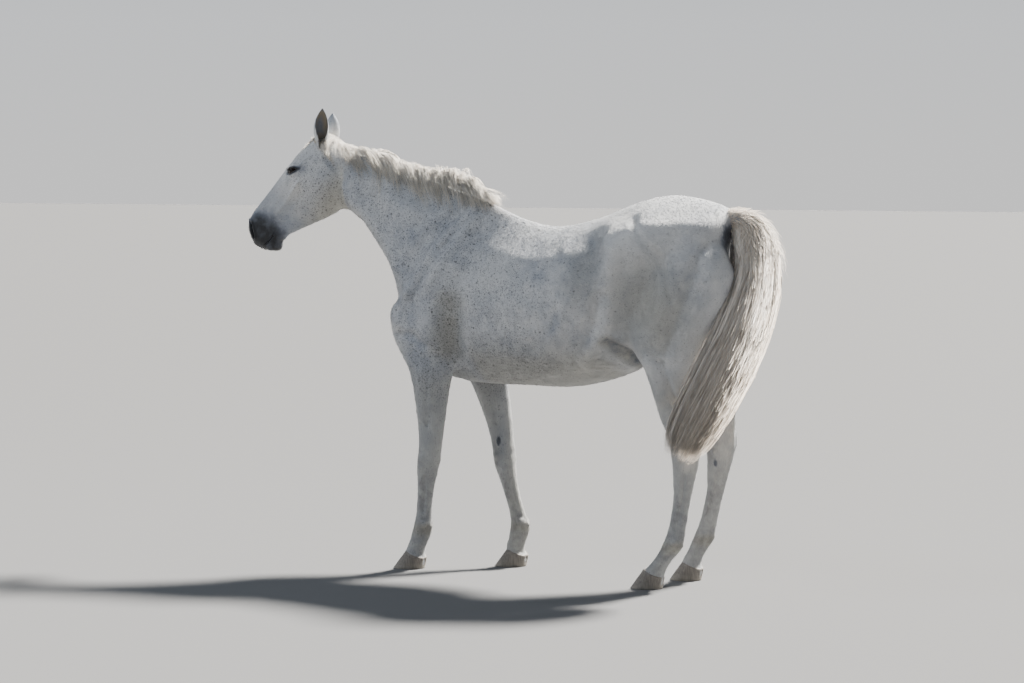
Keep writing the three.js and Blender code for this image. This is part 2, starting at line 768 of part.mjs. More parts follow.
const headAndEars = headClearance.add(earClearance);
addPiece('forelock', 'hair', solidOf(forelockLoft()).subtract(headAndEars));
addPiece('mane', 'hair', solidOf(maneLoft()).subtract(bodyClearance).subtract(headAndEars));
addPiece('tail', 'hair', solidOf(tailLoft()).subtract(bodyClearance).subtract(legClearance));

// The origin is under the middle of the whole horse, on the ground.
const box = new THREE.Box3().setFromObject(horse);
const middle = box.getCenter(new THREE.Vector3());
horse.position.set(-middle.x, -middle.y, -box.min.z);

export default horse;
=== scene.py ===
import math
from contextlib import contextmanager

import bmesh
import bpy
import numpy as np
from mathutils import Matrix, Vector
from mathutils.bvhtree import BVHTree


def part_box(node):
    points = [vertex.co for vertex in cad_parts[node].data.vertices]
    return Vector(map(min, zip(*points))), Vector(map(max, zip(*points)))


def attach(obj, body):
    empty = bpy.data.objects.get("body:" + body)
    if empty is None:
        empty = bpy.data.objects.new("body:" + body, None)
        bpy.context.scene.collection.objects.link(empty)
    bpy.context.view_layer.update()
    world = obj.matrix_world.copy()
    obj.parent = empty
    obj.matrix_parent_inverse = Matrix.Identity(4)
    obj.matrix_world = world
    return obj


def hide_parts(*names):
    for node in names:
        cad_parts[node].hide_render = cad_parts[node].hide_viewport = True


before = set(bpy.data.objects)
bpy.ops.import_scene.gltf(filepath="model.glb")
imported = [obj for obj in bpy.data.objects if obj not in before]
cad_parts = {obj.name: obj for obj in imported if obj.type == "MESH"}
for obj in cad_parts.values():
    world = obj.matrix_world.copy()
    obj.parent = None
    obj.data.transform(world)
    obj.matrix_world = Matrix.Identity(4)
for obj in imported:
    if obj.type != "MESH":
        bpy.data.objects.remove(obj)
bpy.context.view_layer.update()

rng = np.random.RandomState(7)

# ---------------------------------------------------------------- the body frame
# Landmarks are given in millimetres in the frame the horse was drawn in, before its neck was turned:
# x to its left, y to its rear from the left fore hoof, z up. The head has a frame of its own there:
# s runs from the poll down the nose, and h stands up from the nose line.
FORE_HOOF_X, FORE_TOE_Y = 149, -110
NECK_TURN, TURN_START, TURN_LENGTH = math.radians(10), 40, 450
POLL_Y, POLL_Z, HEAD_PITCH = -556, 1832, math.radians(52)
hoof_low, hoof_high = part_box("hoof_foreleg_left")
ORIGIN = np.array([(hoof_low.x + hoof_high.x) / 2 - FORE_HOOF_X / 1000, hoof_low.y - FORE_TOE_Y / 1000, 0])
HEAD_Y = -420                              # the head lies ahead of this
BETWEEN_PAIRS = 720                        # y that parts the fore legs from the hind ones
SIDES = {"left": 1, "right": -1}


def turned(points):
    """Points of the straight horse, in millimetres, with the turn of neck and head put in."""
    x, y, z = np.asarray(points, float).T
    run = TURN_START - y
    arc = np.clip(run, 0, TURN_LENGTH)
    angle = NECK_TURN * arc / TURN_LENGTH
    radius = TURN_LENGTH / NECK_TURN
    straight = np.where(run > 0, run - arc, 0)
    new_x = radius * (1 - np.cos(angle)) + straight * np.sin(angle) + x * np.cos(angle)
    ahead = TURN_START - radius * np.sin(angle) - straight * np.cos(angle) + x * np.sin(angle)
    return np.stack([np.where(run > 0, new_x, x), np.where(run > 0, ahead, y), z], 1)


def straightened(points):
    """The inverse of turned."""
    x, y, z = np.asarray(points, float).T
    radius = TURN_LENGTH / NECK_TURN
    angle = np.arctan2(TURN_START - y, radius - x)
    bent_x = radius - np.hypot(TURN_START - y, radius - x)
    bent_y = TURN_START - angle / NECK_TURN * TURN_LENGTH
    end_x = radius * (1 - math.cos(NECK_TURN))
    end_y = TURN_START - radius * math.sin(NECK_TURN)
    far_x = (x - end_x) * math.cos(NECK_TURN) + (y - end_y) * math.sin(NECK_TURN)
    far_y = (y - end_y) * math.cos(NECK_TURN) - (x - end_x) * math.sin(NECK_TURN)
    far_y = far_y + TURN_START - TURN_LENGTH
    ahead = y < TURN_START
    far = angle > NECK_TURN
    new_x = np.where(ahead, np.where(far, far_x, bent_x), x)
    new_y = np.where(ahead, np.where(far, far_y, bent_y), y)
    return np.stack([new_x, new_y, z], 1)


def to_row(points):
    """Body frame points, in any arrangement that ends in three numbers, in the row's frame and metres."""
    points = np.asarray(points, float)
    return (turned(points.reshape(-1, 3)) / 1000 + ORIGIN).reshape(points.shape)


def to_body(points):
    return straightened((np.asarray(points, float) - ORIGIN) * 1000)


def head_frame(body):
    """(x, s, h) of points of the body frame."""
    y, z = body[:, 1] - POLL_Y, body[:, 2] - POLL_Z
    cos, sin = math.cos(HEAD_PITCH), math.sin(HEAD_PITCH)
    return np.stack([body[:, 0], -cos * y - sin * z, -sin * y + cos * z], 1)


def from_head(points):
    """Body frame points from (x, s, h), in the same arrangement."""
    x, s, h = np.moveaxis(np.asarray(points, float), -1, 0)
    cos, sin = math.cos(HEAD_PITCH), math.sin(HEAD_PITCH)
    return np.stack([x, POLL_Y - cos * s - sin * h, POLL_Z - sin * s + cos * h], -1)


def mirrored_head(body):
    """Head frame places with both sides laid on the left."""
    head = head_frame(body)
    head[:, 0] = np.abs(head[:, 0])
    return head


# ---------------------------------------------------------------- numbers
def smoothstep(low, high, value):
    t = np.clip((value - low) / (high - low), 0, 1)
    return t * t * (3 - 2 * t)


def unit(vectors):
    return vectors / np.maximum(np.linalg.norm(vectors, axis=-1, keepdims=True), 1e-12)


def distance_to(points, path):
    """Distance from each point to a path of straight pieces, in two or three dimensions."""
    path = np.asarray(path, float)
    nearest = np.full(len(points), np.inf)
    for start, end in zip(path, path[1:] if len(path) > 1 else path):
        along = end - start
        share = np.clip((points - start) @ along / max(along @ along, 1e-9), 0, 1)
        gap = np.linalg.norm(points - start - share[:, None] * along, axis=1)
        nearest = np.minimum(nearest, gap)
    return nearest


def fade(ratio):
    """1 at the middle of a stroke, 0 from its radius on."""
    return np.clip(1 - ratio ** 2, 0, 1) ** 2


def most(*shares):
    """The largest of several shares at each point."""
    return np.maximum.reduce(shares)


# ---------------------------------------------------------------- meshes
def make_mesh(name, points, faces):
    """An object from numpy points and faces that all have the same number of corners."""
    mesh = bpy.data.meshes.new(name)
    sides = faces.shape[1]
    mesh.vertices.add(len(points))
    mesh.vertices.foreach_set("co", np.asarray(points, np.float32).ravel())
    mesh.loops.add(faces.size)
    mesh.loops.foreach_set("vertex_index", faces.astype(np.int32).ravel())
    mesh.polygons.add(len(faces))
    mesh.polygons.foreach_set("loop_start", np.arange(0, faces.size, sides, dtype=np.int32))
    mesh.update(calc_edges=True)
    mesh.validate()
    mesh.shade_smooth()
    return in_scene(name, mesh)


def in_scene(name, data):
    piece = bpy.data.objects.new(name, data)
    bpy.context.scene.collection.objects.link(piece)
    return piece


@contextmanager
def sheet_of(mesh):
    """The mesh in a form that can be edited. It is put back at the end."""
    sheet = bmesh.new()
    sheet.from_mesh(mesh)
    sheet.verts.ensure_lookup_table()
    yield sheet
    sheet.to_mesh(mesh)
    sheet.free()


def vectors_of(collection, name, width=3):
    found = np.empty(len(collection) * width, np.float32)
    collection.foreach_get(name, found)
    return found.reshape(-1, width).astype(float)


def points_of(mesh):
    return vectors_of(mesh.vertices, "co")


def normals_of(mesh):
    return vectors_of(mesh.vertex_normals, "vector")


def set_points(mesh, points):
    mesh.vertices.foreach_set("co", np.asarray(points, np.float32).ravel())
    mesh.update()


def edges_of(mesh):
    found = np.empty(len(mesh.edges) * 2, np.int32)
    mesh.edges.foreach_get("vertices", found)
    return found.reshape(-1, 2)


def smooth(points, edges, rounds, strength=0.5):
    """Each point moved towards the mean of its neighbours, as many times as its own entry in rounds."""
    count = len(points)
    degree = np.bincount(edges.ravel(), minlength=count)
    points = points.copy()
    rounds = np.broadcast_to(rounds, count)
    for done in range(int(np.ceil(rounds.max()))):
        share = strength * np.clip(rounds - done, 0, 1)
        mean = np.empty_like(points)
        for axis in range(points.shape[1]):
            total = np.bincount(edges[:, 0], points[edges[:, 1], axis], count)
            total += np.bincount(edges[:, 1], points[edges[:, 0], axis], count)
            mean[:, axis] = total / degree
        points += share[:, None] * (mean - points)
    return points


def fair(points, edges, rounds):
    """Smoothing that puts back the shrinkage."""
    smoothed = smooth(points, edges, rounds)
    return smoothed + smooth(points - smoothed, edges, rounds)


def refine(mesh, chosen):
    """Halves the faces of the chosen vertices, and eases the new ones into the surface."""
    before = len(mesh.vertices)
    with sheet_of(mesh) as sheet:
        cut = [e for e in sheet.edges if chosen[e.verts[0].index] and chosen[e.verts[1].index]]
        bmesh.ops.subdivide_edges(sheet, edges=cut, cuts=1, use_grid_fill=True)
        bmesh.ops.triangulate(sheet, faces=[f for f in sheet.faces if len(f.verts) > 4])
    touched = np.zeros(len(mesh.vertices))
    touched[before:] = 1
    touched[:before] = chosen
    set_points(mesh, fair(points_of(mesh), edges_of(mesh), 2 * touched))


# ---------------------------------------------------------------- the skin: one closed surface
LEGS = ("foreleg_left", "foreleg_right", "hindleg_left", "hindleg_right")
EYES = [f"eye_{name}" for name in SIDES]
FLESH = ["head", "neck", "trunk", "ear_left", "ear_right"]
FLESH += [f"{leg}_{part}" for leg in LEGS for part in ("upper", "lower")]
HOOVES = [f"hoof_{leg}" for leg in LEGS]
VOXEL = 0.012
BODY_ROUNDS, UPPER_ROUNDS, HEAD_ROUNDS = 3, 24, 5         # rounds of smoothing, more on the upper body


def node_arrays(names):
    """Points and triangles of several CAD nodes together."""
    points, faces, count = [], [], 0
    for name in names:
        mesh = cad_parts[name].data
        mesh.calc_loop_triangles()
        triangles = np.empty(len(mesh.loop_triangles) * 3, np.int32)
        mesh.loop_triangles.foreach_get("vertices", triangles)
        points.append(points_of(mesh))
        faces.append(triangles.reshape(-1, 3) + count)
        count += len(mesh.vertices)
    return np.concatenate(points), np.concatenate(faces)


def apply_modifiers(piece):
    graph = bpy.context.evaluated_depsgraph_get()
    mesh = bpy.data.meshes.new_from_object(piece.evaluated_get(graph))
    piece.modifiers.clear()
    old = piece.data
    piece.data = mesh
    bpy.data.meshes.remove(old)


def largest_part(mesh):
    """Deletes every loose part but the largest."""
    edges = edges_of(mesh)
    label = np.arange(len(mesh.vertices))
    while True:
        low = np.minimum(label[edges[:, 0]], label[edges[:, 1]])
        new = label.copy()
        np.minimum.at(new, edges[:, 0], low)
        np.minimum.at(new, edges[:, 1], low)
        new = new[new]
        if (new == label).all():
            break
        label = new
    keep = np.bincount(label).argmax()
    with sheet_of(mesh) as sheet:
        bmesh.ops.delete(sheet, geom=[v for v in sheet.verts if label[v.index] != keep], context="VERTS")


def whole_surface():
    """Flesh, hooves and eyes closed into one even mesh, with the facets smoothed away."""
    nodes = [n for n in FLESH if not n.startswith("ear")] + HOOVES + EYES
    skin = make_mesh("skin", *node_arrays(nodes))
    remesh = skin.modifiers.new("remesh", "REMESH")
    remesh.mode = "VOXEL"
    remesh.voxel_size = VOXEL
    apply_modifiers(skin)
    largest_part(skin.data)
    points = points_of(skin.data)
    body = to_body(points)
    on_head = smoothstep(-60, 40, head_frame(body)[:, 1]) * smoothstep(HEAD_Y, HEAD_Y - 60, body[:, 1])
    rounds = BODY_ROUNDS + UPPER_ROUNDS * smoothstep(600, 1150, body[:, 2])
    rounds = rounds * (1 - on_head) + HEAD_ROUNDS * on_head
    set_points(skin.data, fair(points, edges_of(skin.data), rounds))
    return skin


# Each ear: root, tip, where its open side faces (degrees from ahead to the left).
EARS = {
    "left": {"root": (50, -536, 1816), "tip": (62, -524, 1970), "opening": 122},
    "right": {"root": (-50, -536, 1816), "tip": (-58, -532, 1952), "opening": -60},
}
# Along an ear: share of its length, half width, half depth, how far round the shell wraps (degrees).
EAR_ROWS = np.array([
    (-0.16, 22, 20, 172),
    (0.00, 24, 23, 168),
    (0.14, 29.5, 26, 158),
    (0.30, 33, 25, 138),
    (0.50, 33.5, 23, 122),
    (0.70, 27, 18, 112),
    (0.86, 16, 12, 104),
    (0.95, 7, 6, 98),
    (1.00, 2.6, 2.4, 92),
])
EAR_RINGS, EAR_ARC_STEPS = 34, 18
EAR_THICK, EAR_BOW = 3.2, 5                # thickness of the shell, and how far it bows outward


def ear_axes(ear):
    """Root, lengthwise, sideways and opening directions of an ear."""
    root, tip = np.array(ear["root"], float), np.array(ear["tip"], float)
    axis = tip - root
    heading = math.radians(ear["opening"])
    open_side = np.array([math.sin(heading), -math.cos(heading), 0])
    open_side = unit(open_side - axis * (open_side @ axis) / (axis @ axis))
    across = unit(np.cross(axis, open_side))
    return root, axis, across, open_side


def ear_shell(name):
    """One ear: a leaf rolled round its back, with an outer and an inner face and a rounded rim."""
    root, axis, across, open_side = ear_axes(EARS[name])
    outward = np.array([np.sign(root[0]), 0, 0])
    rings = []
    for t in np.linspace(EAR_ROWS[0, 0], 1, EAR_RINGS):
        half, deep, wrap = (np.interp(t, EAR_ROWS[:, 0], EAR_ROWS[:, k]) for k in (1, 2, 3))
        thick = min(EAR_THICK, 0.6 * deep)
        turn = np.radians(np.linspace(-wrap, wrap, EAR_ARC_STEPS))
        angle = np.concatenate([turn, turn[::-1] * 0.94])
        inward = np.repeat([0, thick], EAR_ARC_STEPS)
        middle = root + axis * t + outward * EAR_BOW * math.sin(math.pi * max(t, 0))
        sideways = np.outer(np.sin(angle) * (half - inward), across)
        rings.append(middle + sideways - np.outer(np.cos(angle) * (deep - inward), open_side))
    return tube_mesh("ear_shell_" + name, to_row(np.concatenate(rings)), len(rings), 2 * EAR_ARC_STEPS)


def tube_mesh(name, points, rings, sides):
    """Rings of points joined into a closed tube, with a face over each end."""
    ring, side = np.meshgrid(np.arange(rings - 1), np.arange(sides), indexing="ij")
    here = (ring * sides + side).ravel()
    beside = (ring * sides + (side + 1) % sides).ravel()
    walls = np.stack([here, beside, beside + sides, here + sides], 1)
    mesh = bpy.data.meshes.new(name)
    ends = [list(range(sides))[::-1], list(range((rings - 1) * sides, rings * sides))]
    mesh.from_pydata([tuple(p) for p in points], [], [tuple(f) for f in walls] + ends)
    with sheet_of(mesh) as sheet:
        bmesh.ops.triangulate(sheet, faces=[f for f in sheet.faces if len(f.verts) > 4])
        bmesh.ops.recalc_face_normals(sheet, faces=sheet.faces)
    return in_scene(name, mesh)


def join_ears(skin):
    """Both ears united with the skin, and the crease round each root filled out."""
    for name in EARS:
        shell = ear_shell(name)
        union = skin.modifiers.new(name, "BOOLEAN")
        union.object = shell
        union.operation = "UNION"
        union.solver = "EXACT"
        apply_modifiers(skin)
        bpy.data.objects.remove(shell)
    points = points_of(skin.data)
    body = to_body(points)
    for ear in EARS.values():
        root, axis, _, _ = ear_axes(ear)
        along = (body - root) @ unit(axis)
        off = np.linalg.norm(body - root - along[:, None] * unit(axis), axis=1)
        crease = (1 - smoothstep(34, 60, off)) * (1 - smoothstep(10, 34, np.abs(along)))
        points = fair(points, edges_of(skin.data), 10 * crease)
        points = smooth(points, edges_of(skin.data), 2 * crease)
    set_points(skin.data, points)
    skin.data.shade_smooth()


# ---------------------------------------------------------------- where the skin is finer
EYE_PLACE = np.array([84, 166, -4])        # left eye in the head's frame (x, s, h)
EYE_RADIUS = 21
NOSTRIL = np.array([(42, 486, 39), (52, 500, 20), (54, 514, 2), (48, 526, -14)])
MOUTH = np.array([(0, 553, -66), (22, 545, -70), (36, 523, -76), (45, 494, -82), (48, 466, -86)])
FINE_LEGS_BELOW = 640
FINER_REACH = [(58, 40, 24), (38, 22, 8)]  # round eye, nostril and mouth, for two further rounds


def laid_on(skin, path, steps=24):
    """A path of the head's frame, laid on the left side of the skin."""
    share = np.linspace(0, len(path) - 1, steps)
    path = np.stack([np.interp(share, np.arange(len(path)), path[:, k]) for k in range(3)], 1)
    head = head_frame(to_body(points_of(skin.data)))
    head = head[head[:, 1] > 400]
    chosen = [np.linalg.norm(head - place, axis=1).argsort()[:3] for place in path]
    return np.array([head[three].mean(0) for three in chosen])


def refine_skin(skin):
    """Finer faces on the head and lower legs, and finer again at eyes, nostrils and mouth."""
    body = to_body(points_of(skin.data))
    face = (head_frame(body)[:, 1] > 20) & (body[:, 1] < HEAD_Y)
    refine(skin.data, face | (body[:, 2] < FINE_LEGS_BELOW))
    for eye_reach, nose_reach, lip_reach in FINER_REACH:
        body = to_body(points_of(skin.data))
        head = mirrored_head(body)
        near = distance_to(head, [EYE_PLACE]) < eye_reach
        near |= distance_to(head, NOSTRIL) < nose_reach
        near |= distance_to(head, MOUTH) < lip_reach
        refine(skin.data, near & (body[:, 1] < HEAD_Y))


# ---------------------------------------------------------------- sculpting
# Centre line of each lower leg, as rows of (height, y, x), to place its sinews and joints.
LEG_LINES = {
    "foreleg_left": [(30, -28, 149), (120, 12, 149), (170, 30, 149), (240, 37, 149), (360, 49, 149),
                     (450, 61, 149), (560, 73, 149), (700, 76, 148), (860, 76, 147), (980, 68, 145)],
    "foreleg_right": [(30, 300, -140), (120, 330, -140), (165, 342, -140), (205, 337, -140),
                      (288, 308, -140), (365, 286, -140), (425, 270, -140), (510, 258, -140),
                      (600, 240, -141), (700, 213, -142), (780, 186, -143), (860, 150, -144),
                      (980, 105, -143)],
    "hindleg_left": [(30, 1128, 125), (105, 1178, 126), (150, 1217, 128), (190, 1241, 129), (270, 1264, 131),
                     (400, 1287, 133), (510, 1299, 135), (605, 1299, 138), (700, 1274, 142),
                     (830, 1264, 146), (900, 1254, 147), (970, 1230, 145)],
    "hindleg_right": [(30, 1140, -168), (105, 1178, -168), (150, 1205, -168), (190, 1225, -168),
                      (270, 1250, -167), (400, 1281, -166), (510, 1298, -165), (605, 1303, -164),
                      (700, 1286, -162), (830, 1275, -159), (900, 1260, -155), (970, 1234, -150)],
}

# A stroke is: radius, height, then the path it follows. All are in millimetres.
# Side view of neck, trunk and thigh, path as (y, z).
SIDE_STROKES = [
    (26, -8, (-345, 1490), (-245, 1340), (-170, 1200), (-140, 1120)),          # jugular groove
    (60, 8, (-400, 1610), (-250, 1450), (-110, 1290), (-30, 1190)),            # muscle above it
    (26, 5, (-385, 1500), (-265, 1330), (-190, 1180)),                         # muscle in front of it
    (70, 5, (-450, 1710), (-250, 1640), (-60, 1520)),                          # upper neck
    (70, -7, (40, 1575), (-120, 1625)),                                        # hollow before the withers
    (56, -5, (185, 1560), (50, 1410), (-50, 1260), (-100, 1170)),              # front edge of the shoulder
    (36, 6, (215, 1540), (120, 1390), (30, 1240), (-40, 1130)),                # spine of the shoulder blade
    (44, 5, (240, 1500), (165, 1330), (80, 1190)),                             # muscle behind the spine
    (74, 7, (-95, 1100), (-80, 1070)),                                         # point of the shoulder
    (105, 9, (170, 1290), (115, 1140), (130, 1020)),                           # triceps
    (95, -8, (228, 1120), (210, 1030), (192, 950)),                            # crease behind the triceps
    (50, -6, (214, 1040), (194, 950)),                                         # its deepest part
    (40, 9, (165, 945),),                                                      # elbow
    (26, -6, (-70, 1010), (30, 1005), (90, 960)),                              # crease over the forearm
    (70, -6, (300, 1430), (300, 1290)),                                        # hollow behind the shoulder
    (44, 3, (760, 1390), (850, 1230), (790, 1050), (640, 900)),                # edge of the rib cage
    (95, -11, (900, 1405), (915, 1330)),                                       # hollow of the flank
    (92, 5, (1010, 1440), (1020, 1410)),                                       # point of the hip
    (38, 7, (1000, 1080), (930, 1000), (840, 915)),                            # fold from stifle to belly
    (44, -6, (985, 1190), (930, 1080), (850, 985)),                            # groove before the fold
    (140, 9, (1130, 1480),),                                                   # gluteal muscle
    (56, -4, (1290, 1442),),                                                   # dip behind it
    (48, -5, (1418, 1404), (1436, 1396)),                                      # hollow beside the tail
    (26, -5, (1085, 1500), (1230, 1350), (1290, 1190)),                        # groove below it
    (85, 9, (1320, 1330), (1250, 1140), (1180, 1020)),                         # biceps of the thigh
    (30, -4, (1400, 1400), (1360, 1250), (1295, 1090), (1262, 980)),           # groove down its rear
    (44, 3, (1440, 1300), (1400, 1170), (1335, 1030)),                         # hamstring
    (64, 7, (1030, 1380), (1010, 1230), (1000, 1100)),                         # front of the thigh
    (60, 8, (1002, 1015),),                                                   # knee cap of the stifle
    (32, -6, (1040, 945), (1050, 915)),                                        # hollow below it
    (50, -15, (985, 985), (1030, 925)),                                        # hollow under the fold
    (50, 8, (1170, 930), (1215, 790)),                                         # gaskin
    (20, -7, (1235, 930), (1275, 800), (1310, 715)),                           # groove of the gaskin
]
SIDE_RELIEF, HEAD_RELIEF, LEG_RELIEF = 2.1, 1.4, 1.7      # how strong each group is
RIBS = {"first": 350, "step": 56, "count": 9, "top": 1400, "low": 920, "lean": 70, "radius": 17,
        "height": 2.2}
# Front view of the chest and rear view of the rump, path as (x, z) with both sides on the left.
FRONT_STROKES = [
    (24, -16, (0, 1140), (0, 960)),                                            # groove between the breasts
    (62, 10, (64, 1060), (66, 1000)),                                          # breast muscle
    (24, -9, (118, 1010), (84, 930)),                                          # fold of the armpit
]
REAR_STROKES = [
    (26, -16, (0, 1400), (0, 1180), (0, 1010)),                                # between the buttocks
    (40, 7, (60, 1290), (70, 1120)),                                           # inner hamstring
]
# Head, path as (x, s, h) with both sides on the left.
HEAD_STROKES = [
    (15, 7, (98, 185, -58), (92, 250, -58), (78, 320, -52), (68, 352, -46)),   # facial crest
    (24, -6, (96, 225, -92), (78, 320, -84)),                                  # below the crest
    (27, -8, (62, 122, 30), (66, 136, 28)),                                    # pit above the eye
    (14, 7, (58, 178, 50), (76, 172, 34), (88, 150, 20)),                      # brow
    (14, 6, (98, 150, -18), (93, 100, -14), (84, 66, -22)),                    # arch behind the eye
    (95, 8, (100, 130, -140),),                                                # cheek
    (17, -7, (88, 248, -112), (76, 262, -180), (66, 262, -216)),               # front edge of the cheek
    (16, 4, (62, 150, -262), (60, 240, -236)),                                 # lower rim of the jaw
    (46, -4, (62, 360, -84), (58, 420, -84)),                                  # hollow of the cheek
    (34, -3, (64, 300, 14), (54, 420, 18)),                                    # side of the nose
    (20, 4, (46, 448, 42), (46, 470, 44)),                                     # false nostril
    (60, 3, (0, 110, 50),),                                                    # forehead
    (6, 3, (92, 210, -100), (84, 268, -98), (74, 318, -70), (64, 366, -22)),   # vein on the cheek
    (5, 2.5, (82, 272, -96), (72, 300, -130)),                                 # its branch
    (5, 2.5, (70, 340, -46), (60, 392, -34), (54, 430, -20)),                  # vein on the nose
    (30, 5, (28, 540, -36), (34, 512, -44)),                                   # upper lip
    (22, 4, (26, 522, -100), (30, 498, -104)),                                 # lower lip
    (30, 6, (0, 500, -132), (14, 506, -128)),                                  # chin
    (14, -5, (30, 470, -122), (0, 468, -128)),                                 # groove behind the chin
    (26, -10, (70, 60, -255), (84, 36, -170), (82, 22, -90)),                  # groove behind the jaw
    (34, 6, (74, -24, -84),),                                                  # wing of the first neck bone
]
# Lower legs, path as (distance behind the centre line, height). These show on both sides of a leg.
FORE_STROKES = [
    (34, 6, (-26, 850), (-22, 660)),                                           # extensor muscle
    (14, -4, (14, 850), (6, 620)),                                             # groove behind it
    (34, 4, (18, 840), (16, 700)),                                             # flexor muscles
    (26, 4, (-14, 474),),                                                      # upper row of the knee
    (24, 4, (-12, 436),),                                                      # lower row of the knee
    (30, 2, (40, 466),),                                                       # bone behind the knee
    (11, -4, (12, 400), (10, 250)),                                            # groove before the tendons
    (24, 6, (20, 196),),                                                       # fetlock
    (20, -4, (16, 132),),                                                      # hollow of the pastern
]
HIND_STROKES = [
    (34, 4, (62, 612), (56, 580)),                                             # point of the hock
    (24, -11, (36, 770), (34, 680)),                                           # hollow before the tendon
    (30, 5, (-16, 596),),                                                      # joint of the hock
    (20, 4, (-8, 540),),                                                       # its lower end
    (11, -4, (12, 470), (10, 280)),                                            # groove before the tendons
    (24, 6, (18, 198),),                                                       # fetlock
    (20, -4, (16, 136),),                                                      # hollow of the pastern
]
# Lower legs from in front (knees and hocks) and from behind, path as (distance outward, height).
LEG_FRONT_STROKES = [(40, 4, (0, 470), (0, 430))]
LEG_REAR_STROKES = [(15, 6, (0, 182),)]
# Horny patches inside the legs: (x, y, z), half length and half width.
CHESTNUTS = [
    ((-86, 258, 540), 21, 11),
    ((104, 72, 560), 21, 11),
    ((-116, 1296, 500), 17, 9),
    ((92, 1296, 500), 17, 9),
]
CHESTNUT_HEIGHT = 3
CROUP_LIFT = 7                             # gives back what smoothing takes off the croup


def chestnuts(body):
    """Share of the horny patches at points of the body frame."""
    share = np.zeros(len(body))
    for (x, y, z), tall, wide in CHESTNUTS:
        off = np.sqrt(((body[:, 1] - y) / wide) ** 2 + ((body[:, 2] - z) / tall) ** 2)
        share = np.maximum(share, smoothstep(1.15, 0.7, off) * (np.abs(body[:, 0] - x) < 30))
    return share


def leg_frame(body):
    """How far points lie behind the centre line of their own lower leg, and how far outward of it."""
    behind, outward = np.zeros(len(body)), np.zeros(len(body))
    for name, rows in LEG_LINES.items():
        rows = np.array(rows, float)
        side = np.sign(rows[0, 2])
        pair = (body[:, 1] < BETWEEN_PAIRS) == name.startswith("fore")
        mine = pair & (np.sign(body[:, 0]) == side)
        y = np.interp(body[:, 2], rows[:, 0], rows[:, 1])
        x = np.interp(body[:, 2], rows[:, 0], rows[:, 2])
        behind[mine] = (body[:, 1] - y)[mine]
        outward[mine] = (side * (body[:, 0] - x))[mine]
    return behind, outward


def pressed(places, strokes, facing):
    """Sum of the strokes at each place, weakened where the surface faces elsewhere."""
    total = np.zeros(len(places))
    for radius, height, *path in strokes:
        total += height * fade(distance_to(places, path) / radius)
    return total * np.clip(facing * 1.6, 0, 1)


def rib_strokes():
    strokes = []
    for k in range(RIBS["count"]):
        top = RIBS["first"] + k * RIBS["step"]
        path = [(top + 20, RIBS["top"]), (top + RIBS["lean"], 1220), (top + RIBS["lean"] * 0.6, RIBS["low"])]
        strokes.append((RIBS["radius"], RIBS["height"], *path))
    return strokes


def sculpt(skin):
    """Muscles, bones, grooves and veins raised or sunk along the surface's own direction."""
    points, normals = points_of(skin.data), normals_of(skin.data)
    body = to_body(points)
    head = mirrored_head(body)
    facing = unit(to_body(points + normals * 0.001) - body)
    x, y, z = body.T
    outward_facing = np.sign(x) * facing[:, 0]
    side_facing, rear_facing = np.abs(facing[:, 0]), facing[:, 1]
    head_share = smoothstep(-30, 30, head[:, 1]) * smoothstep(HEAD_Y, HEAD_Y - 30, y)
    low = 1 - smoothstep(860, 960, z)
    fore = y < BETWEEN_PAIRS
    behind, outward = leg_frame(body)
    from_side, from_ahead = np.stack([y, z], 1), np.stack([np.abs(x), z], 1)
    leg_side, leg_front = np.stack([behind, z], 1), np.stack([outward, z], 1)
    trunk_share = smoothstep(560, 700, z) * (1 - head_share)
    lift = SIDE_RELIEF * pressed(from_side, SIDE_STROKES, outward_facing) * trunk_share
    lift += pressed(from_side, rib_strokes(), outward_facing) * smoothstep(RIBS["top"], RIBS["top"] - 130, z)
    lift += pressed(from_ahead, FRONT_STROKES, -rear_facing) * smoothstep(0, -60, y)
    lift += pressed(from_ahead, REAR_STROKES, rear_facing) * smoothstep(1200, 1300, y)
    lift += HEAD_RELIEF * pressed(head, HEAD_STROKES, np.ones(len(points))) * head_share
    lift += LEG_RELIEF * pressed(leg_side, FORE_STROKES, side_facing) * low * fore
    lift += LEG_RELIEF * pressed(leg_side, HIND_STROKES, side_facing) * low * ~fore
    lift += CHESTNUT_HEIGHT * chestnuts(body)
    lift += CROUP_LIFT * fade((y - 1130) / 420) * smoothstep(1500, 1570, z)
    lift += pressed(leg_front, LEG_FRONT_STROKES, -rear_facing) * low
    lift += pressed(leg_front, LEG_REAR_STROKES, rear_facing) * low
    set_points(skin.data, points + normals * lift[:, None] / 1000)


# ---------------------------------------------------------------- eyes, nostrils and mouth
EYE_FACES = np.array([0.93, 0.20, 0.30])   # where the left eye looks, in the head's frame
EYE_SLANT = math.radians(36)               # its long axis against the nose line
LID_HALF_LENGTH, UPPER_LID, LOWER_LID = 23, 10.5, 9
LID_POINT = 1.75                           # under 2 the corners of the opening are pointed
LID_THICK = 3.2
LID_REACH, LID_BLEND = 46, (19, 42)        # how far round the eye the face is shaped, and where that fades
# Folds of the lids: distance from the opening, half width, depth (negative stands out), upper lid or lower.
LID_FOLDS = [(9.5, 3.2, 2.2, "upper"), (15, 3, 1.6, "above"), (7.5, 3, 1.3, "lower"), (5, 4, -1.3, "upper")]


def eye_axes(side):
    """Centre, outward, lengthwise and upward directions of one eye in the head's frame."""
    mirror = np.array([side, 1, 1])
    outward = unit(EYE_FACES) * mirror
    length = np.array([0, math.cos(EYE_SLANT), math.sin(EYE_SLANT)])
    length = unit(length - outward * (length @ outward))
    up = np.cross(outward, length)
    return EYE_PLACE * mirror, outward, length, up * np.sign(up[2])


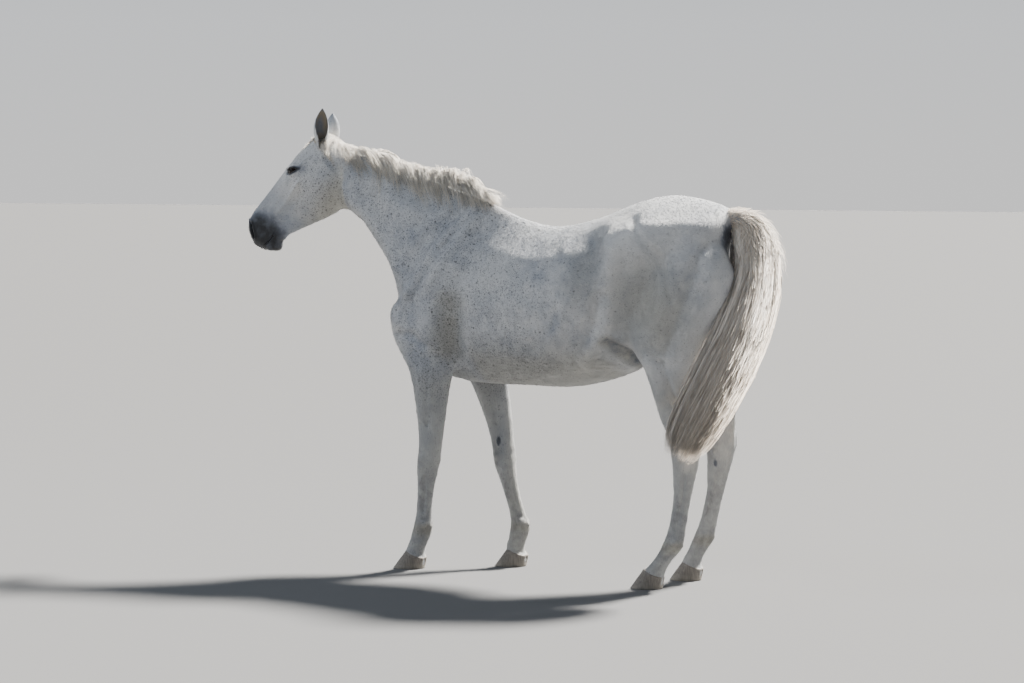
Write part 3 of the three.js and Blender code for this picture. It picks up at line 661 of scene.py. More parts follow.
def lid_gap(u, v):
    """How far a place lies outside the opening between the lids, in millimetres, and its ratio."""
    half = np.where(v > 0, UPPER_LID, LOWER_LID)
    ratio = ((np.abs(u) / LID_HALF_LENGTH) ** LID_POINT + (np.abs(v) / half) ** LID_POINT) ** (1 / LID_POINT)
    return (ratio - 1) * UPPER_LID, ratio


def shape_eyes(skin):
    """Lays the lids over the eyeballs, with their folds, and opens them."""
    head = head_frame(to_body(points_of(skin.data)))
    for side in SIDES.values():
        centre, outward, length, up = eye_axes(side)
        from_eye = head - centre
        u, v, w = from_eye @ length, from_eye @ up, from_eye @ outward
        near = (np.hypot(u, v) < LID_REACH) & (w > -12)
        gap, ratio = lid_gap(u, v)
        rim = near & (np.abs(gap) < 0.9)
        u, v = np.where(rim, u / ratio, u), np.where(rim, v / ratio, v)
        off = np.hypot(u, v)
        ball = np.sqrt(np.maximum(EYE_RADIUS ** 2 - off ** 2, 0))
        lid_radius = EYE_RADIUS + LID_THICK
        lid = np.maximum(lid_radius * np.cos(np.minimum(off / lid_radius, 1.3)), ball + 1)
        part = {"upper": v > 0, "above": v > 2, "lower": v < 0}
        for place, width, depth, name in LID_FOLDS:
            lid -= depth * fade((gap - place) / width) * part[name]
        edge = smoothstep(-0.3, 2.4, gap)
        lid = (ball + 0.5) * (1 - edge) + lid * edge
        keep = smoothstep(*LID_BLEND, off)
        shaped = np.where(gap < -1.0, ball - 6, lid * (1 - keep) + w * keep)
        w = np.where(near, shaped, w)
        moved = centre + np.outer(u, length) + np.outer(v, up) + np.outer(w, outward)
        head = np.where(near[:, None], moved, head)
    set_points(skin.data, to_row(from_head(head)))


def shape_muzzle(skin):
    """Nostrils with raised rims, and the line of the mouth."""
    points, normals = points_of(skin.data), normals_of(skin.data)
    body = to_body(points)
    head = mirrored_head(body)
    nostril, mouth = laid_on(skin, NOSTRIL), laid_on(skin, MOUTH)
    nose, lips = distance_to(head, nostril), distance_to(head, mouth)
    behind = head[:, 1] - np.interp(head[:, 2], nostril[::-1, 2], nostril[::-1, 1])
    rim = np.exp(-((nose - 13) / 4.5) ** 2)
    lift = -19 * fade(nose / 9) + rim * np.where(behind < 0, 6, 2.5)
    lift += -6 * fade(lips / 5) + 2 * np.exp(-((lips - 9) / 4.5) ** 2)
    lift *= smoothstep(HEAD_Y, HEAD_Y - 30, body[:, 1])
    set_points(skin.data, points + normals * lift[:, None] / 1000)


CORNEA_RISE, CORNEA_SPREAD = 1.6, 0.85     # height of the cornea, and its reach in radians


def add_eyeballs():
    """An eyeball with a raised cornea for each CAD eye."""
    rows, columns = 40, 56
    polar, round_ = np.meshgrid(np.linspace(0, math.pi, rows), np.arange(columns) * 2 * math.pi / columns,
                                indexing="ij")
    radius = EYE_RADIUS - 0.2 + CORNEA_RISE * fade(polar / CORNEA_SPREAD)
    for name, side in SIDES.items():
        centre, outward, length, up = eye_axes(side)
        ball = centre + (radius * np.cos(polar))[..., None] * outward
        ball = ball + (radius * np.sin(polar) * np.cos(round_))[..., None] * length
        ball = ball + (radius * np.sin(polar) * np.sin(round_))[..., None] * up
        eye = tube_mesh("eyeball_" + name, to_row(from_head(ball.reshape(-1, 3))), rows, columns)
        with sheet_of(eye.data) as sheet:
            bmesh.ops.remove_doubles(sheet, verts=sheet.verts, dist=1e-6)
            bmesh.ops.recalc_face_normals(sheet, faces=sheet.faces)
        eye.data.shade_smooth()
        eye.data.materials.append(eye_material(name, side))
        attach(eye, "root")
        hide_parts("eye_" + name)


# ---------------------------------------------------------------- material helpers
class Nodes:
    """A short way to build a node tree."""

    def __init__(self, tree):
        self.tree = tree

    def add(self, kind, inputs=(), **settings):
        node = self.tree.nodes.new(kind)
        for key, value in settings.items():
            setattr(node, key, value)
        for key, value in dict(inputs).items():
            self.put(node.inputs[key], value)
        return node

    def put(self, socket, value):
        if isinstance(value, bpy.types.NodeSocket):
            self.tree.links.new(value, socket)
        else:
            socket.default_value = value

    def math(self, operation, a, b=0.0, clamp=False):
        node = self.add("ShaderNodeMath", operation=operation, use_clamp=clamp)
        self.put(node.inputs[0], a)
        self.put(node.inputs[1], b)
        return node.outputs[0]

    def times(self, a, b):
        return self.math("MULTIPLY", a, b)

    def plus(self, a, b, clamp=False):
        return self.math("ADD", a, b, clamp)

    def ramp(self, value, low, high, start=0.0, end=1.0):
        node = self.add("ShaderNodeMapRange", {"Value": value, "From Min": low, "From Max": high,
                                               "To Min": start, "To Max": end})
        return node.outputs["Result"]

    def mix(self, factor, a, b):
        node = self.add("ShaderNodeMix", {"Factor": factor}, data_type="RGBA")
        for key, colour in (("A", a), ("B", b)):
            self.put(node.inputs[key], colour if isinstance(colour, bpy.types.NodeSocket) else (*colour, 1))
        return node.outputs["Result"]

    def brightened(self, colour, value):
        return self.add("ShaderNodeHueSaturation", {"Value": value, "Color": colour}).outputs["Color"]

    def place(self):
        return self.add("ShaderNodeTexCoord").outputs["Object"]

    def axis(self, name):
        """One coordinate of the object, in metres."""
        return self.add("ShaderNodeSeparateXYZ", {"Vector": self.place()}).outputs[name]

    def stretched(self, turn, size):
        """Object coordinates turned round x and divided by a grain size, for a streaky pattern."""
        placed = {"Vector": self.place(), "Rotation": (turn, 0, 0), "Scale": size}
        return self.add("ShaderNodeMapping", placed, vector_type="TEXTURE").outputs["Vector"]

    def noise(self, scale, detail=2.0, vector=None, distortion=0.0):
        node = self.add("ShaderNodeTexNoise", {"Vector": vector or self.place(), "Scale": scale,
                                               "Detail": detail, "Distortion": distortion})
        return node.outputs["Fac"]

    def attribute(self, name):
        return self.add("ShaderNodeAttribute", attribute_name=name).outputs["Fac"]

    def bump(self, height, distance, **below):
        inputs = {"Height": height, "Distance": distance, **below}
        return self.add("ShaderNodeBump", inputs).outputs["Normal"]


def new_material(name, settings):
    """A material with one shader. Its settings are values of the shader's own sockets."""
    material = bpy.data.materials.new(name)
    material.use_nodes = True
    material.node_tree.nodes.clear()
    nodes = Nodes(material.node_tree)
    shader = nodes.add("ShaderNodeBsdfPrincipled", settings)
    nodes.add("ShaderNodeOutputMaterial", {"Surface": shader.outputs["BSDF"]})
    return material, nodes, shader


# ---------------------------------------------------------------- coat colours
WHITE_HAIR = (0.74, 0.735, 0.715)
# Grey of the coat's own mottling, tinted blue as painted skylight; the grey marks also lay it on as painted
# shade.
GREY_HAIR_AND_SKY_SHADE = (0.305, 0.33, 0.375)
# Warm colour: the real stain at the fetlocks, and painted warm bounce light from below.
WARM_HAIR_AND_BOUNCE = (0.42, 0.375, 0.25)
FLECK_HAIR = (0.055, 0.052, 0.055)
# Smudge colour: real dark patches on the legs, and painted shade under the neck.
SMUDGE_AND_SHADE_HAIR = (0.16, 0.155, 0.155)
EAR_LINING = (0.225, 0.195, 0.150)
# Dark bare skin and its bluish edge, also used where the dark marks hold painted shade.
DARK_SKIN_AND_SHADE = (0.014, 0.015, 0.018)
DARK_EDGE_AND_SHADE = (0.135, 0.150, 0.185)
FINE_FLECK, COARSE_FLECK = 0.0056, 0.0105  # cell sizes in metres
COAT_GLOSS = {"Sheen Roughness": 0.45, "Specular IOR Level": 0.35}


def flecks(nodes, size, amount):
    """Small dark marks, each in a cell of its own, at a share of the cells."""
    wander = nodes.add("ShaderNodeTexNoise", {"Vector": nodes.place(), "Scale": 1.2 / size, "Detail": 3.0})
    shaken = nodes.add("ShaderNodeVectorMath", {0: wander.outputs["Color"], 1: [1.1 * size] * 3,
                                                2: nodes.place()}, operation="MULTIPLY_ADD")
    cells = nodes.add("ShaderNodeTexVoronoi", {"Vector": shaken.outputs[0], "Scale": 1 / size})
    chance = nodes.add("ShaderNodeSeparateColor", {"Color": cells.outputs["Color"]})
    reach = nodes.ramp(chance.outputs["Green"], 0.0, 1.0, 0.26, 0.66)
    spot = nodes.ramp(nodes.math("DIVIDE", cells.outputs["Distance"], reach), 0.25, 1.0, 1.0, 0.0)
    chosen = nodes.math("LESS_THAN", chance.outputs["Red"], amount)
    strength = nodes.times(chosen, nodes.ramp(chance.outputs["Blue"], 0.0, 1.0, 0.55, 1.0))
    return nodes.times(spot, strength)


def hair_relief(nodes):
    """Height of the fine hair in the skin, running back on the body, down the legs and down the face."""
    back = nodes.noise(1.0, 2.0, nodes.stretched(math.radians(-24), (0.0024, 0.022, 0.0024)))
    down = nodes.noise(1.0, 2.0, nodes.stretched(0, (0.0022, 0.0022, 0.020)))
    face = nodes.noise(1.0, 2.0, nodes.stretched(HEAD_PITCH, (0.0018, 0.014, 0.0018)))
    on_legs = nodes.ramp(nodes.axis("Z"), 0.95, 0.75)
    on_head = nodes.ramp(nodes.axis("Y"), -0.78, -0.88)
    return nodes.mix(on_head, nodes.mix(on_legs, back, down), face)


def coat_colour(nodes):
    """The colour of skin and short coat together, from position and the marks on the surface."""
    fleck, dark = nodes.attribute("fleck"), nodes.attribute("dark")
    broad = nodes.ramp(nodes.noise(3.6, 4.0), 0.3, 0.7, 0.15, 1.0)
    patchy = nodes.ramp(nodes.noise(17.0, 4.0), 0.3, 0.7, 0.3, 0.8)
    shade = nodes.plus(nodes.times(broad, patchy), nodes.times(fleck, 0.35))
    # The grey marks bring in painted shade, and on the back painted sunlight, besides the coat's own grey.
    shade = nodes.plus(shade, nodes.attribute("grey"), clamp=True)
    colour = nodes.mix(shade, WHITE_HAIR, GREY_HAIR_AND_SKY_SHADE)
    # Warm marks: real stain at the fetlocks, and painted warm bounce light on undersides and shaded parts.
    colour = nodes.mix(nodes.attribute("warm"), colour, WARM_HAIR_AND_BOUNCE)
    # Smudges: real dark patches on the legs, and painted shade along the throat.
    smudge_and_shade = nodes.times(nodes.attribute("smudge_and_shade"), nodes.ramp(nodes.noise(34, 3.0), 0.3, 0.62))
    colour = nodes.mix(smudge_and_shade, colour, SMUDGE_AND_SHADE_HAIR)
    amount = nodes.times(fleck, nodes.ramp(nodes.noise(7, 3.0), 0.3, 0.62, 0.45, 1.25))
    spots = nodes.math("MAXIMUM", flecks(nodes, FINE_FLECK, nodes.times(amount, 1.45)),
                       flecks(nodes, COARSE_FLECK, nodes.times(amount, 0.42)))
    depth = nodes.ramp(fleck, 0.1, 0.6, 0.50, 1.0)
    colour = nodes.mix(nodes.times(spots, depth), colour, FLECK_HAIR)
    colour = nodes.brightened(colour, nodes.ramp(hair_relief(nodes), 0.3, 0.7, 0.84, 1.06))
    colour = nodes.mix(nodes.attribute("lining"), colour, EAR_LINING)
    grain = nodes.plus(nodes.times(nodes.noise(40, 3.0), 0.3), nodes.times(nodes.noise(15, 3.0), 0.45))
    raggedness = nodes.ramp(dark, 0.0, 0.3, 0.0, 1.6)
    ragged = nodes.plus(dark, nodes.times(nodes.math("SUBTRACT", grain, 0.375), raggedness))
    # The dark marks hold bare dark skin and also painted shade behind the eyes, in the tear troughs, flank
    # fold, ear hollows and under the tail.
    colour = nodes.mix(nodes.ramp(ragged, 0.04, 0.52), colour, DARK_EDGE_AND_SHADE)
    return nodes.mix(nodes.ramp(ragged, 0.40, 0.95), colour, DARK_SKIN_AND_SHADE)


def skin_material():
    """The skin with its fine hair as relief, smoother and wrinkled where it is dark: bare skin, and the
    places where the dark marks hold painted shade.
    """
    material, nodes, shader = new_material("skin", {"Sheen Weight": 0.18, **COAT_GLOSS})
    dark = nodes.attribute("dark")
    wrinkles = nodes.times(nodes.noise(210, 3.0, distortion=0.6), dark)
    nodes.put(shader.inputs["Base Color"], coat_colour(nodes))
    nodes.put(shader.inputs["Roughness"], nodes.ramp(dark, 0.4, 0.9, 0.62, 0.40))
    hair = nodes.bump(hair_relief(nodes), 0.0016)
    nodes.put(shader.inputs["Normal"], nodes.bump(wrinkles, 0.0008, Normal=hair))
    return material


def coat_material():
    material, nodes, shader = new_material("coat", {"Roughness": 0.6, "Sheen Weight": 0.2, **COAT_GLOSS})
    nodes.put(shader.inputs["Base Color"], coat_colour(nodes))
    return material


def long_hair_material(name, stretch, pale, tinted):
    """Long hair whose strands differ a little in colour. The tint grows towards the ends."""
    gloss = {"Roughness": 0.5, "Sheen Weight": 0.15, "Specular IOR Level": 0.4}
    material, nodes, shader = new_material(name, gloss)
    strands = nodes.noise(1.0, 2.0, nodes.stretched(0, stretch))
    deep = nodes.ramp(nodes.noise(13, 2.0), 0.3, 0.7, 0.86, 1.0)
    single = nodes.ramp(nodes.attribute("tone"), 0.0, 1.0, 0.68, 1.08)
    colour = nodes.mix(nodes.ramp(strands, 0.3, 0.72), pale, tinted)
    colour = nodes.mix(nodes.times(nodes.attribute("ends"), 0.5), colour, tinted)
    nodes.put(shader.inputs["Base Color"], nodes.brightened(colour, nodes.times(deep, single)))
    return material


def hoof_material():
    """Horn with streaks down it, growth rings and a worn pale edge at the floor."""
    material, nodes, shader = new_material("horn", {})
    streaks = nodes.noise(1.0, 3.0, nodes.stretched(0, (0.004, 0.004, 0.045)))
    clouds = nodes.noise(26, 3.0)
    worn = nodes.times(nodes.ramp(nodes.axis("Z"), 0.03, 0.0), nodes.ramp(clouds, 0.3, 0.7))
    colour = nodes.mix(nodes.ramp(streaks, 0.3, 0.7), (0.13, 0.115, 0.10), (0.25, 0.225, 0.195))
    nodes.put(shader.inputs["Base Color"], nodes.mix(worn, colour, (0.34, 0.31, 0.26)))
    nodes.put(shader.inputs["Roughness"], nodes.ramp(clouds, 0.3, 0.7, 0.45, 0.65))
    rings = nodes.noise(1.0, 2.0, nodes.stretched(0, (0.08, 0.08, 0.0035)))
    nodes.put(shader.inputs["Normal"], nodes.bump(rings, 0.0012))
    return material


PUPIL_HALF_LENGTH, PUPIL_HALF_HEIGHT = 0.0095, 0.0052


def eye_material(name, side):
    """Nearly black iris with a wide pupil, darker towards the rim of the eyeball."""
    material, nodes, shader = new_material("eye_" + name, {"Roughness": 0.06, "Specular IOR Level": 0.24})
    centre, _, length, up = eye_axes(side)
    middle = to_row(from_head(centre))
    from_middle = nodes.add("ShaderNodeVectorMath", {0: nodes.place(), 1: middle}, operation="SUBTRACT")
    reach = []
    for way, half in ((length, PUPIL_HALF_LENGTH), (up, PUPIL_HALF_HEIGHT)):
        axis = unit(to_row(from_head(centre + way)) - middle)
        inputs = {0: from_middle.outputs[0], 1: axis}
        dot = nodes.add("ShaderNodeVectorMath", inputs, operation="DOT_PRODUCT")
        share = nodes.math("DIVIDE", dot.outputs["Value"], half)
        reach.append(nodes.times(share, share))
    pupil = nodes.plus(reach[0], reach[1])
    grain = nodes.ramp(nodes.noise(900, 3.0), 0.3, 0.7)
    iris = nodes.mix(grain, (0.008, 0.005, 0.0035), (0.017, 0.010, 0.006))
    colour = nodes.mix(nodes.ramp(pupil, 0.8, 1.2), (0.003, 0.003, 0.004), iris)
    colour = nodes.mix(nodes.ramp(pupil, 4.6, 6.4), colour, (0.016, 0.012, 0.010))
    nodes.put(shader.inputs["Base Color"], colour)
    return material


# ---------------------------------------------------------------- marks carried by skin and coat
# Where the muzzle turns dark, as (h, s).
MUZZLE_EDGE = np.array([(-140, 480), (-118, 458), (-90, 432), (-50, 414), (-10, 410), (15, 428), (40, 462),
                        (60, 486)])
# Places on the left of the head, as (x, s, h).
BEHIND_EYE_SHADE = [(90, 148, -20), (88, 126, -38)]
TEAR_TROUGH_SHADE = [(96, 190, 2), (94, 226, -14)]
CHEEK = [(90, 120, -130), (80, 170, -170)]
# Places in side view, as (y, z).
THROAT_SHADE = [(-330, 1470), (-240, 1330), (-190, 1220)]       # painted shade along the jugular groove under the neck
ARMPIT_SHADE = [(214, 1130), (202, 1040), (190, 960)]                # painted shade and warm bounce light in the crease behind the elbow
FLANK_FOLD_SHADE = [(975, 1010), (1015, 955), (1045, 905)]           # painted shade and olive bounce light in the fold before the stifle
THIGH_SHADE, LOIN_SHADE = (1190, 1150, 280, 320), (900, 1290, 160, 240)    # painted shade on thigh and loin: centre, then half sizes
KNEE_HEIGHT, HOCK_HEIGHT, FETLOCK_HEIGHT = 455, 585, 190


def head_marks(head, y):
    """Dark skin, painted shade and flecks on the head: muzzle, rims of the eyes, painted shade in the hollow
    behind them and down the tear troughs, and cheek.
    """
    on_head = y < HEAD_Y
    _, s, h = head.T
    centre, _, length, up = eye_axes(1)
    u, v = (head - centre) @ length, (head - centre) @ up
    gap, _ = lid_gap(u, v)
    edge = np.interp(h, MUZZLE_EDGE[:, 0], MUZZLE_EDGE[:, 1])
    dark = most(smoothstep(-80, 62, s - edge),
                (1 - smoothstep(2.5, 14, gap)) * (np.hypot(u, v) < 70),
                # painted shade in the hollow behind the eye and down the tear trough
                0.34 * fade(distance_to(head, BEHIND_EYE_SHADE) / 44),
                0.16 * fade(distance_to(head, TEAR_TROUGH_SHADE) / 34))
    cheek = fade(distance_to(head, CHEEK) / 190)
    return dark * on_head, 0.22 + 0.75 * cheek


def marks(body):
    """Share of dark skin, flecks, smudges, grey and warm tint at points of the body frame, with painted
    shade, painted sunlight and painted warm bounce light among them.
    """
    head = mirrored_head(body)
    x, y, z = body.T
    flat, side_view = np.abs(x), body[:, 1:]
    on_head, low, fore = y < HEAD_Y, z < 900, y < BETWEEN_PAIRS
    behind, _ = leg_frame(body)
    head_dark, head_fleck = head_marks(head, y)
    belly = smoothstep(230, 330, y) * smoothstep(1010, 910, y)
    leg = smoothstep(960, 760, z) * (1 - belly)
    # Painted shade in the fold before the stifle, darkened and tinted olive.
    flank = fade(distance_to(side_view, FLANK_FOLD_SHADE) / 58) * smoothstep(265, 225, flat)
    # Painted shade and warm bounce light behind the elbow.
    armpit_shade = fade(distance_to(side_view, ARMPIT_SHADE) / 120) * smoothstep(90, 170, flat)
    # Painted shade on the thigh and over the loin.
    thigh_shade, loin_shade = (fade(np.hypot((y - middle_y) / long, (z - middle_z) / tall))
                   for middle_y, middle_z, long, tall in (THIGH_SHADE, LOIN_SHADE))
    thigh_shade = thigh_shade * smoothstep(860, 990, z)
    # Underside of the jaw, where painted warm bounce light goes.
    jaw = smoothstep(-120, -230, head[:, 2]) * on_head
    # Dark bare skin under the tail; on the far side it reaches wider, as painted shade from the tail.
    under_tail_skin_and_shade = smoothstep(1375, 1420, y) * smoothstep(1130, 1280, z) * smoothstep(1520, 1440, z)
    under_tail_skin_and_shade = under_tail_skin_and_shade * np.where(x > 0, smoothstep(112, 60, x), smoothstep(-140, -70, x))
    dark = most(head_dark, 0.42 * flank, 0.66 * chestnuts(body), 0.85 * under_tail_skin_and_shade)
    fleck = np.where(on_head, head_fleck, 0.80 - 0.66 * smoothstep(250, 1050, y))
    fleck = fleck * (1 - 0.85 * (1 - smoothstep(640, 900, z)))
    joint = np.where(fore, KNEE_HEIGHT, HOCK_HEIGHT)
    # Smudges: real dark patches at knees, hocks, fetlocks and lower legs, and painted shade along the
    # jugular groove.
    smudge_and_shade = most(0.75 * fade((z - joint) / 120) * low * np.clip(0.4 - behind / 60, 0, 1),
                  0.55 * fade((z - FETLOCK_HEIGHT) / 110) * low,
                  0.8 * fade((behind + 8) / 20) * fade((z - 330) / 150) * low,
                  0.7 * fade(distance_to(side_view, THROAT_SHADE) / 44),
                  0.3 * smoothstep(520, 330, z))
    # Warm tint: the fetlocks' own stain, and elsewhere painted warm bounce light from below: under the
    # belly, on the jaw, in the flank fold and armpit, on thigh, loin and legs.
    warm = most(0.34 * smoothstep(1040, 880, z) * belly,
                0.42 * jaw * (1 - dark),
                0.55 * flank,
                0.5 * fade((z - 175) / 60) * low,
                0.34 * armpit_shade,
                0.40 * thigh_shade,
                0.24 * loin_shade,
                0.24 * leg)
    # Grey: painted shade under the belly and on thigh, loin and armpit; on the legs partly their own darker
    # hair and partly painted shade.
    grey = 0.10 + most(0.42 * leg + 0.34 * smoothstep(1090, 900, z) * belly, 0.72 * thigh_shade, 0.60 * loin_shade,
                       0.45 * armpit_shade)
    grey = np.where(on_head, 0.05 + 0.45 * smoothstep(200, 400, head[:, 1]), grey)
    # Painted sunlight: the back and croup are whitened.
    grey -= 0.9 * smoothstep(1480, 1560, z) * smoothstep(150, 300, y)
    return {"dark": dark, "fleck": fleck, "smudge_and_shade": smudge_and_shade, "warm": warm, "grey": grey,
            "lining": np.zeros(len(body))}


def mark_ears(body, normals, found):
    """Lining of the ear hollows, painted shade deepest in them and on the upper ears, and dark tips. The
    hollow is what faces the ear's own middle.
    """
    for ear in EARS.values():
        root, axis, _, _ = ear_axes(ear)
        from_root = body - root
        t = from_root @ axis / (axis @ axis)
        bowed = np.outer(EAR_BOW * np.sin(math.pi * np.clip(t, 0, 1)), [np.sign(root[0]), 0, 0])
        off = from_root - np.outer(t, axis) - bowed
        away = np.linalg.norm(off, axis=1)
        inward = -(off * normals).sum(1) / np.maximum(away, 1)
        mine = (t > 0.03) & (t < 1.02) & (away < 36)
        hollow = mine * smoothstep(0.15, 0.7, inward) * smoothstep(0.0, 0.14, t)
        # painted shade deepest in the hollow
        depth = mine * smoothstep(0.8, 0.99, inward) * smoothstep(0.95, 0.6, t) * smoothstep(0.1, 0.4, t)
        found["lining"] = most(found["lining"], hollow)
        found["fleck"] = found["fleck"] * (1 - hollow) * np.where(mine, 0.4, 1)
        # painted shade on the upper part of each ear
        found["grey"] = most(found["grey"], 0.7 * mine * smoothstep(0.3, 0.75, t))
        found["dark"] = most(found["dark"], 0.48 * depth, 0.45 * mine * smoothstep(0.84, 1.0, t))
    return found


def marks_at(places, normals):
    """All marks at places of the row's frame."""
    body = to_body(places)
    return mark_ears(body, normals, marks(body))


def put_attribute(mesh, name, values):
    layer = mesh.attributes.new(name, "FLOAT", "POINT")
    layer.data.foreach_set("value", np.asarray(values, np.float32))


def mark_skin(skin):
    for name, values in marks_at(points_of(skin.data), normals_of(skin.data)).items():
        put_attribute(skin.data, name, values)


# ---------------------------------------------------------------- coat depth and unwrap
BODY_DEPTH, LEG_DEPTH, HEAD_DEPTH = 3.0, 1.6, 1.2


def coat_depth(body):
    """How far the coat stands over the skin, in millimetres: nothing on muzzle and eyelids."""
    head = head_frame(body)
    forward = body[:, 1] < HEAD_Y
    on_head = smoothstep(-20, 60, head[:, 1]) * forward
    leg = 1 - smoothstep(600, 900, body[:, 2])
    depth = BODY_DEPTH - (BODY_DEPTH - LEG_DEPTH) * leg
    depth = depth * (1 - on_head) + HEAD_DEPTH * on_head
    depth = depth * (1 - smoothstep(400, 470, head[:, 1]) * forward)
    depth = depth * (1 - 0.9 * smoothstep(1812, 1840, body[:, 2]))
    for side in SIDES.values():
        centre, *_ = eye_axes(side)
        depth = depth * smoothstep(24, 40, np.linalg.norm(head - centre, axis=1))
    return depth


def inset_skin(skin):
    points, normals = points_of(skin.data), normals_of(skin.data)
    depth = coat_depth(to_body(points))
    set_points(skin.data, points - normals * depth[:, None] / 1000)


def unwrap(skin):
    """Lays the faces of the skin out flat, side by side."""
    bpy.context.view_layer.objects.active = skin
    skin.select_set(True)
    skin.data.uv_layers.new(name="OFBake")
    bpy.ops.object.mode_set(mode="EDIT")
    bpy.ops.mesh.select_all(action="SELECT")
    bpy.ops.uv.smart_project(angle_limit=math.radians(66), island_margin=0.002)
    bpy.ops.object.mode_set(mode="OBJECT")


# ---------------------------------------------------------------- hooves
# Each hoof: centre x and y, length, width, coronet height in front and at the heel, slope of the toe.
HOOF_SIZES = {
    "foreleg_left": (149, -39, 142, 134, 82, 46, 51),
    "foreleg_right": (-140, 295, 142, 134, 82, 46, 52),
    "hindleg_left": (125, 1114, 138, 126, 84, 48, 53),
    "hindleg_right": (-168, 1136, 138, 126, 84, 48, 53),
}
HOOF_RINGS, HOOF_SIDES = 40, 64
CORONET_SHARE, HEEL_NARROWING, HEEL_LEAN, HEEL_CLEFT = 0.76, 0.12, 0.3, 0.10
CORONET_ROLL, SOLE_BEVEL = 3.0, 2.2


def add_hooves():
    """Smooth horn with growth rings, a notch between the heel bulbs and a soft upper edge."""
    material = hoof_material()
    angle = np.arange(HOOF_SIDES) * 2 * math.pi / HOOF_SIDES
    back = np.sin(angle)
    rear = np.maximum(back, 0)
    for leg, (x, y, length, width, front_top, heel_top, slope) in HOOF_SIZES.items():
        toe, heel = y - length / 2, y + length / 2
        front_y = toe + front_top / math.tan(math.radians(slope))
        heel_y = heel + heel_top / math.tan(math.radians(slope)) * HEEL_LEAN
        rings = []
        for up in np.linspace(0, 1, HOOF_RINGS):
            start = toe + (front_y - toe) * up
            end = heel + (heel_y - heel) * up
            half = width / 2 * (1 + (CORONET_SHARE - 1) * up)
            swell = 0.9 * math.sin(up * 44) * (0.3 + 0.7 * up) + 0.5 * math.sin(up * 97)
            edge = -SOLE_BEVEL * smoothstep(0.05, 0.0, up) - CORONET_ROLL * smoothstep(0.93, 1.0, up)
            grown = 1 + (edge - 0.9 + 0.45 * swell) / (width / 2)
            cleft = 1 - HEEL_CLEFT * np.exp(-((angle - math.pi / 2) / 0.16) ** 2) * smoothstep(0.1, 0.7, up)
            across = np.cos(angle) * (1 - HEEL_NARROWING * rear) * half * grown
            along = (start + end) / 2 + back * (end - start) / 2 * grown * np.where(back > 0, cleft, 1)
            height = up * (front_top + (heel_top - front_top) * (along - start) / (end - start))
            rings.append(np.stack([x + across, along, height], 1))
        hoof = tube_mesh("horn_" + leg, np.concatenate(rings) / 1000 + ORIGIN, HOOF_RINGS, HOOF_SIDES)
        hoof.data.shade_smooth()
        hoof.data.set_sharp_from_angle(angle=math.radians(50))
        hoof.data.materials.append(material)
        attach(hoof, "root")
        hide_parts("hoof_" + leg)


# ---------------------------------------------------------------- hair over the skin
class Surface:
    """The skin as numpy arrays, with ways to pick places on it and to find the nearest one."""

    def __init__(self, skin):
        mesh = skin.data
        mesh.calc_loop_triangles()
        self.faces = self.corners(mesh, "vertices")
        self.points, self.normals = points_of(mesh), normals_of(mesh)
        self.uv = vectors_of(mesh.uv_layers["OFBake"].data, "uv", 2)[self.corners(mesh, "loops")]
        a, b, c = (self.points[self.faces[:, k]] for k in range(3))
        self.area = np.linalg.norm(np.cross(b - a, c - a), axis=1) / 2
        self.tree = BVHTree.FromPolygons(self.points.tolist(), self.faces.tolist())

    @staticmethod
    def corners(mesh, name):
        found = np.empty(len(mesh.loop_triangles) * 3, np.int32)
        mesh.loop_triangles.foreach_get(name, found)
        return found.reshape(-1, 3)

    def sample(self, count, density):
        """Places picked at random, in proportion to the density given at each vertex."""
        weight = self.area * density[self.faces].mean(1)
        chosen = np.sort(rng.choice(len(weight), count, p=weight / weight.sum()))
        share = rng.dirichlet((1, 1, 1), count)
        return self.at(chosen, share)

    def at(self, chosen, share):
        corners = self.faces[chosen]
        place = (self.points[corners] * share[..., None]).sum(1)
        normal = unit((self.normals[corners] * share[..., None]).sum(1))
        uv = (self.uv[chosen] * share[..., None]).sum(1)
        return place, normal, uv

    def nearest(self, places):
        """Nearest place, its smooth normal and its unwrap place, for each point."""
        hits = [self.tree.find_nearest(p) for p in places.tolist()]
        place = np.array([tuple(h[0]) for h in hits])
        chosen = np.array([h[2] for h in hits])
        a, b, c = (self.points[self.faces[chosen, k]] for k in range(3))
        whole = np.cross(b - a, c - a)
        size = np.maximum((whole * whole).sum(1), 1e-20)
        share_b = (np.cross(place - a, c - a) * whole).sum(1) / size
        share_c = (np.cross(b - a, place - a) * whole).sum(1) / size
        share = np.clip(np.stack([1 - share_b - share_c, share_b, share_c], 1), 0, 1)
        return self.at(chosen, share / share.sum(1, keepdims=True))


def along_surface(vectors, normals):
    return unit(vectors - normals * (vectors * normals).sum(1, keepdims=True))


# Ways the hair lies, as (x, y, z) of the body frame.
TRUNK_WAY = (0, 0.92, -0.38)
NECK_WAY = (0, 0.62, -0.78)
RUMP_WAY = (0, 0.45, -0.89)
LEG_WAY = (0, 0.12, -0.99)
JAW_WAY = (0, 0.4, -0.75)
NOSE_WAY = (0, -math.cos(HEAD_PITCH), -math.sin(HEAD_PITCH))
FLANK_WHORL = (900, 1270, 150)             # y, z and radius


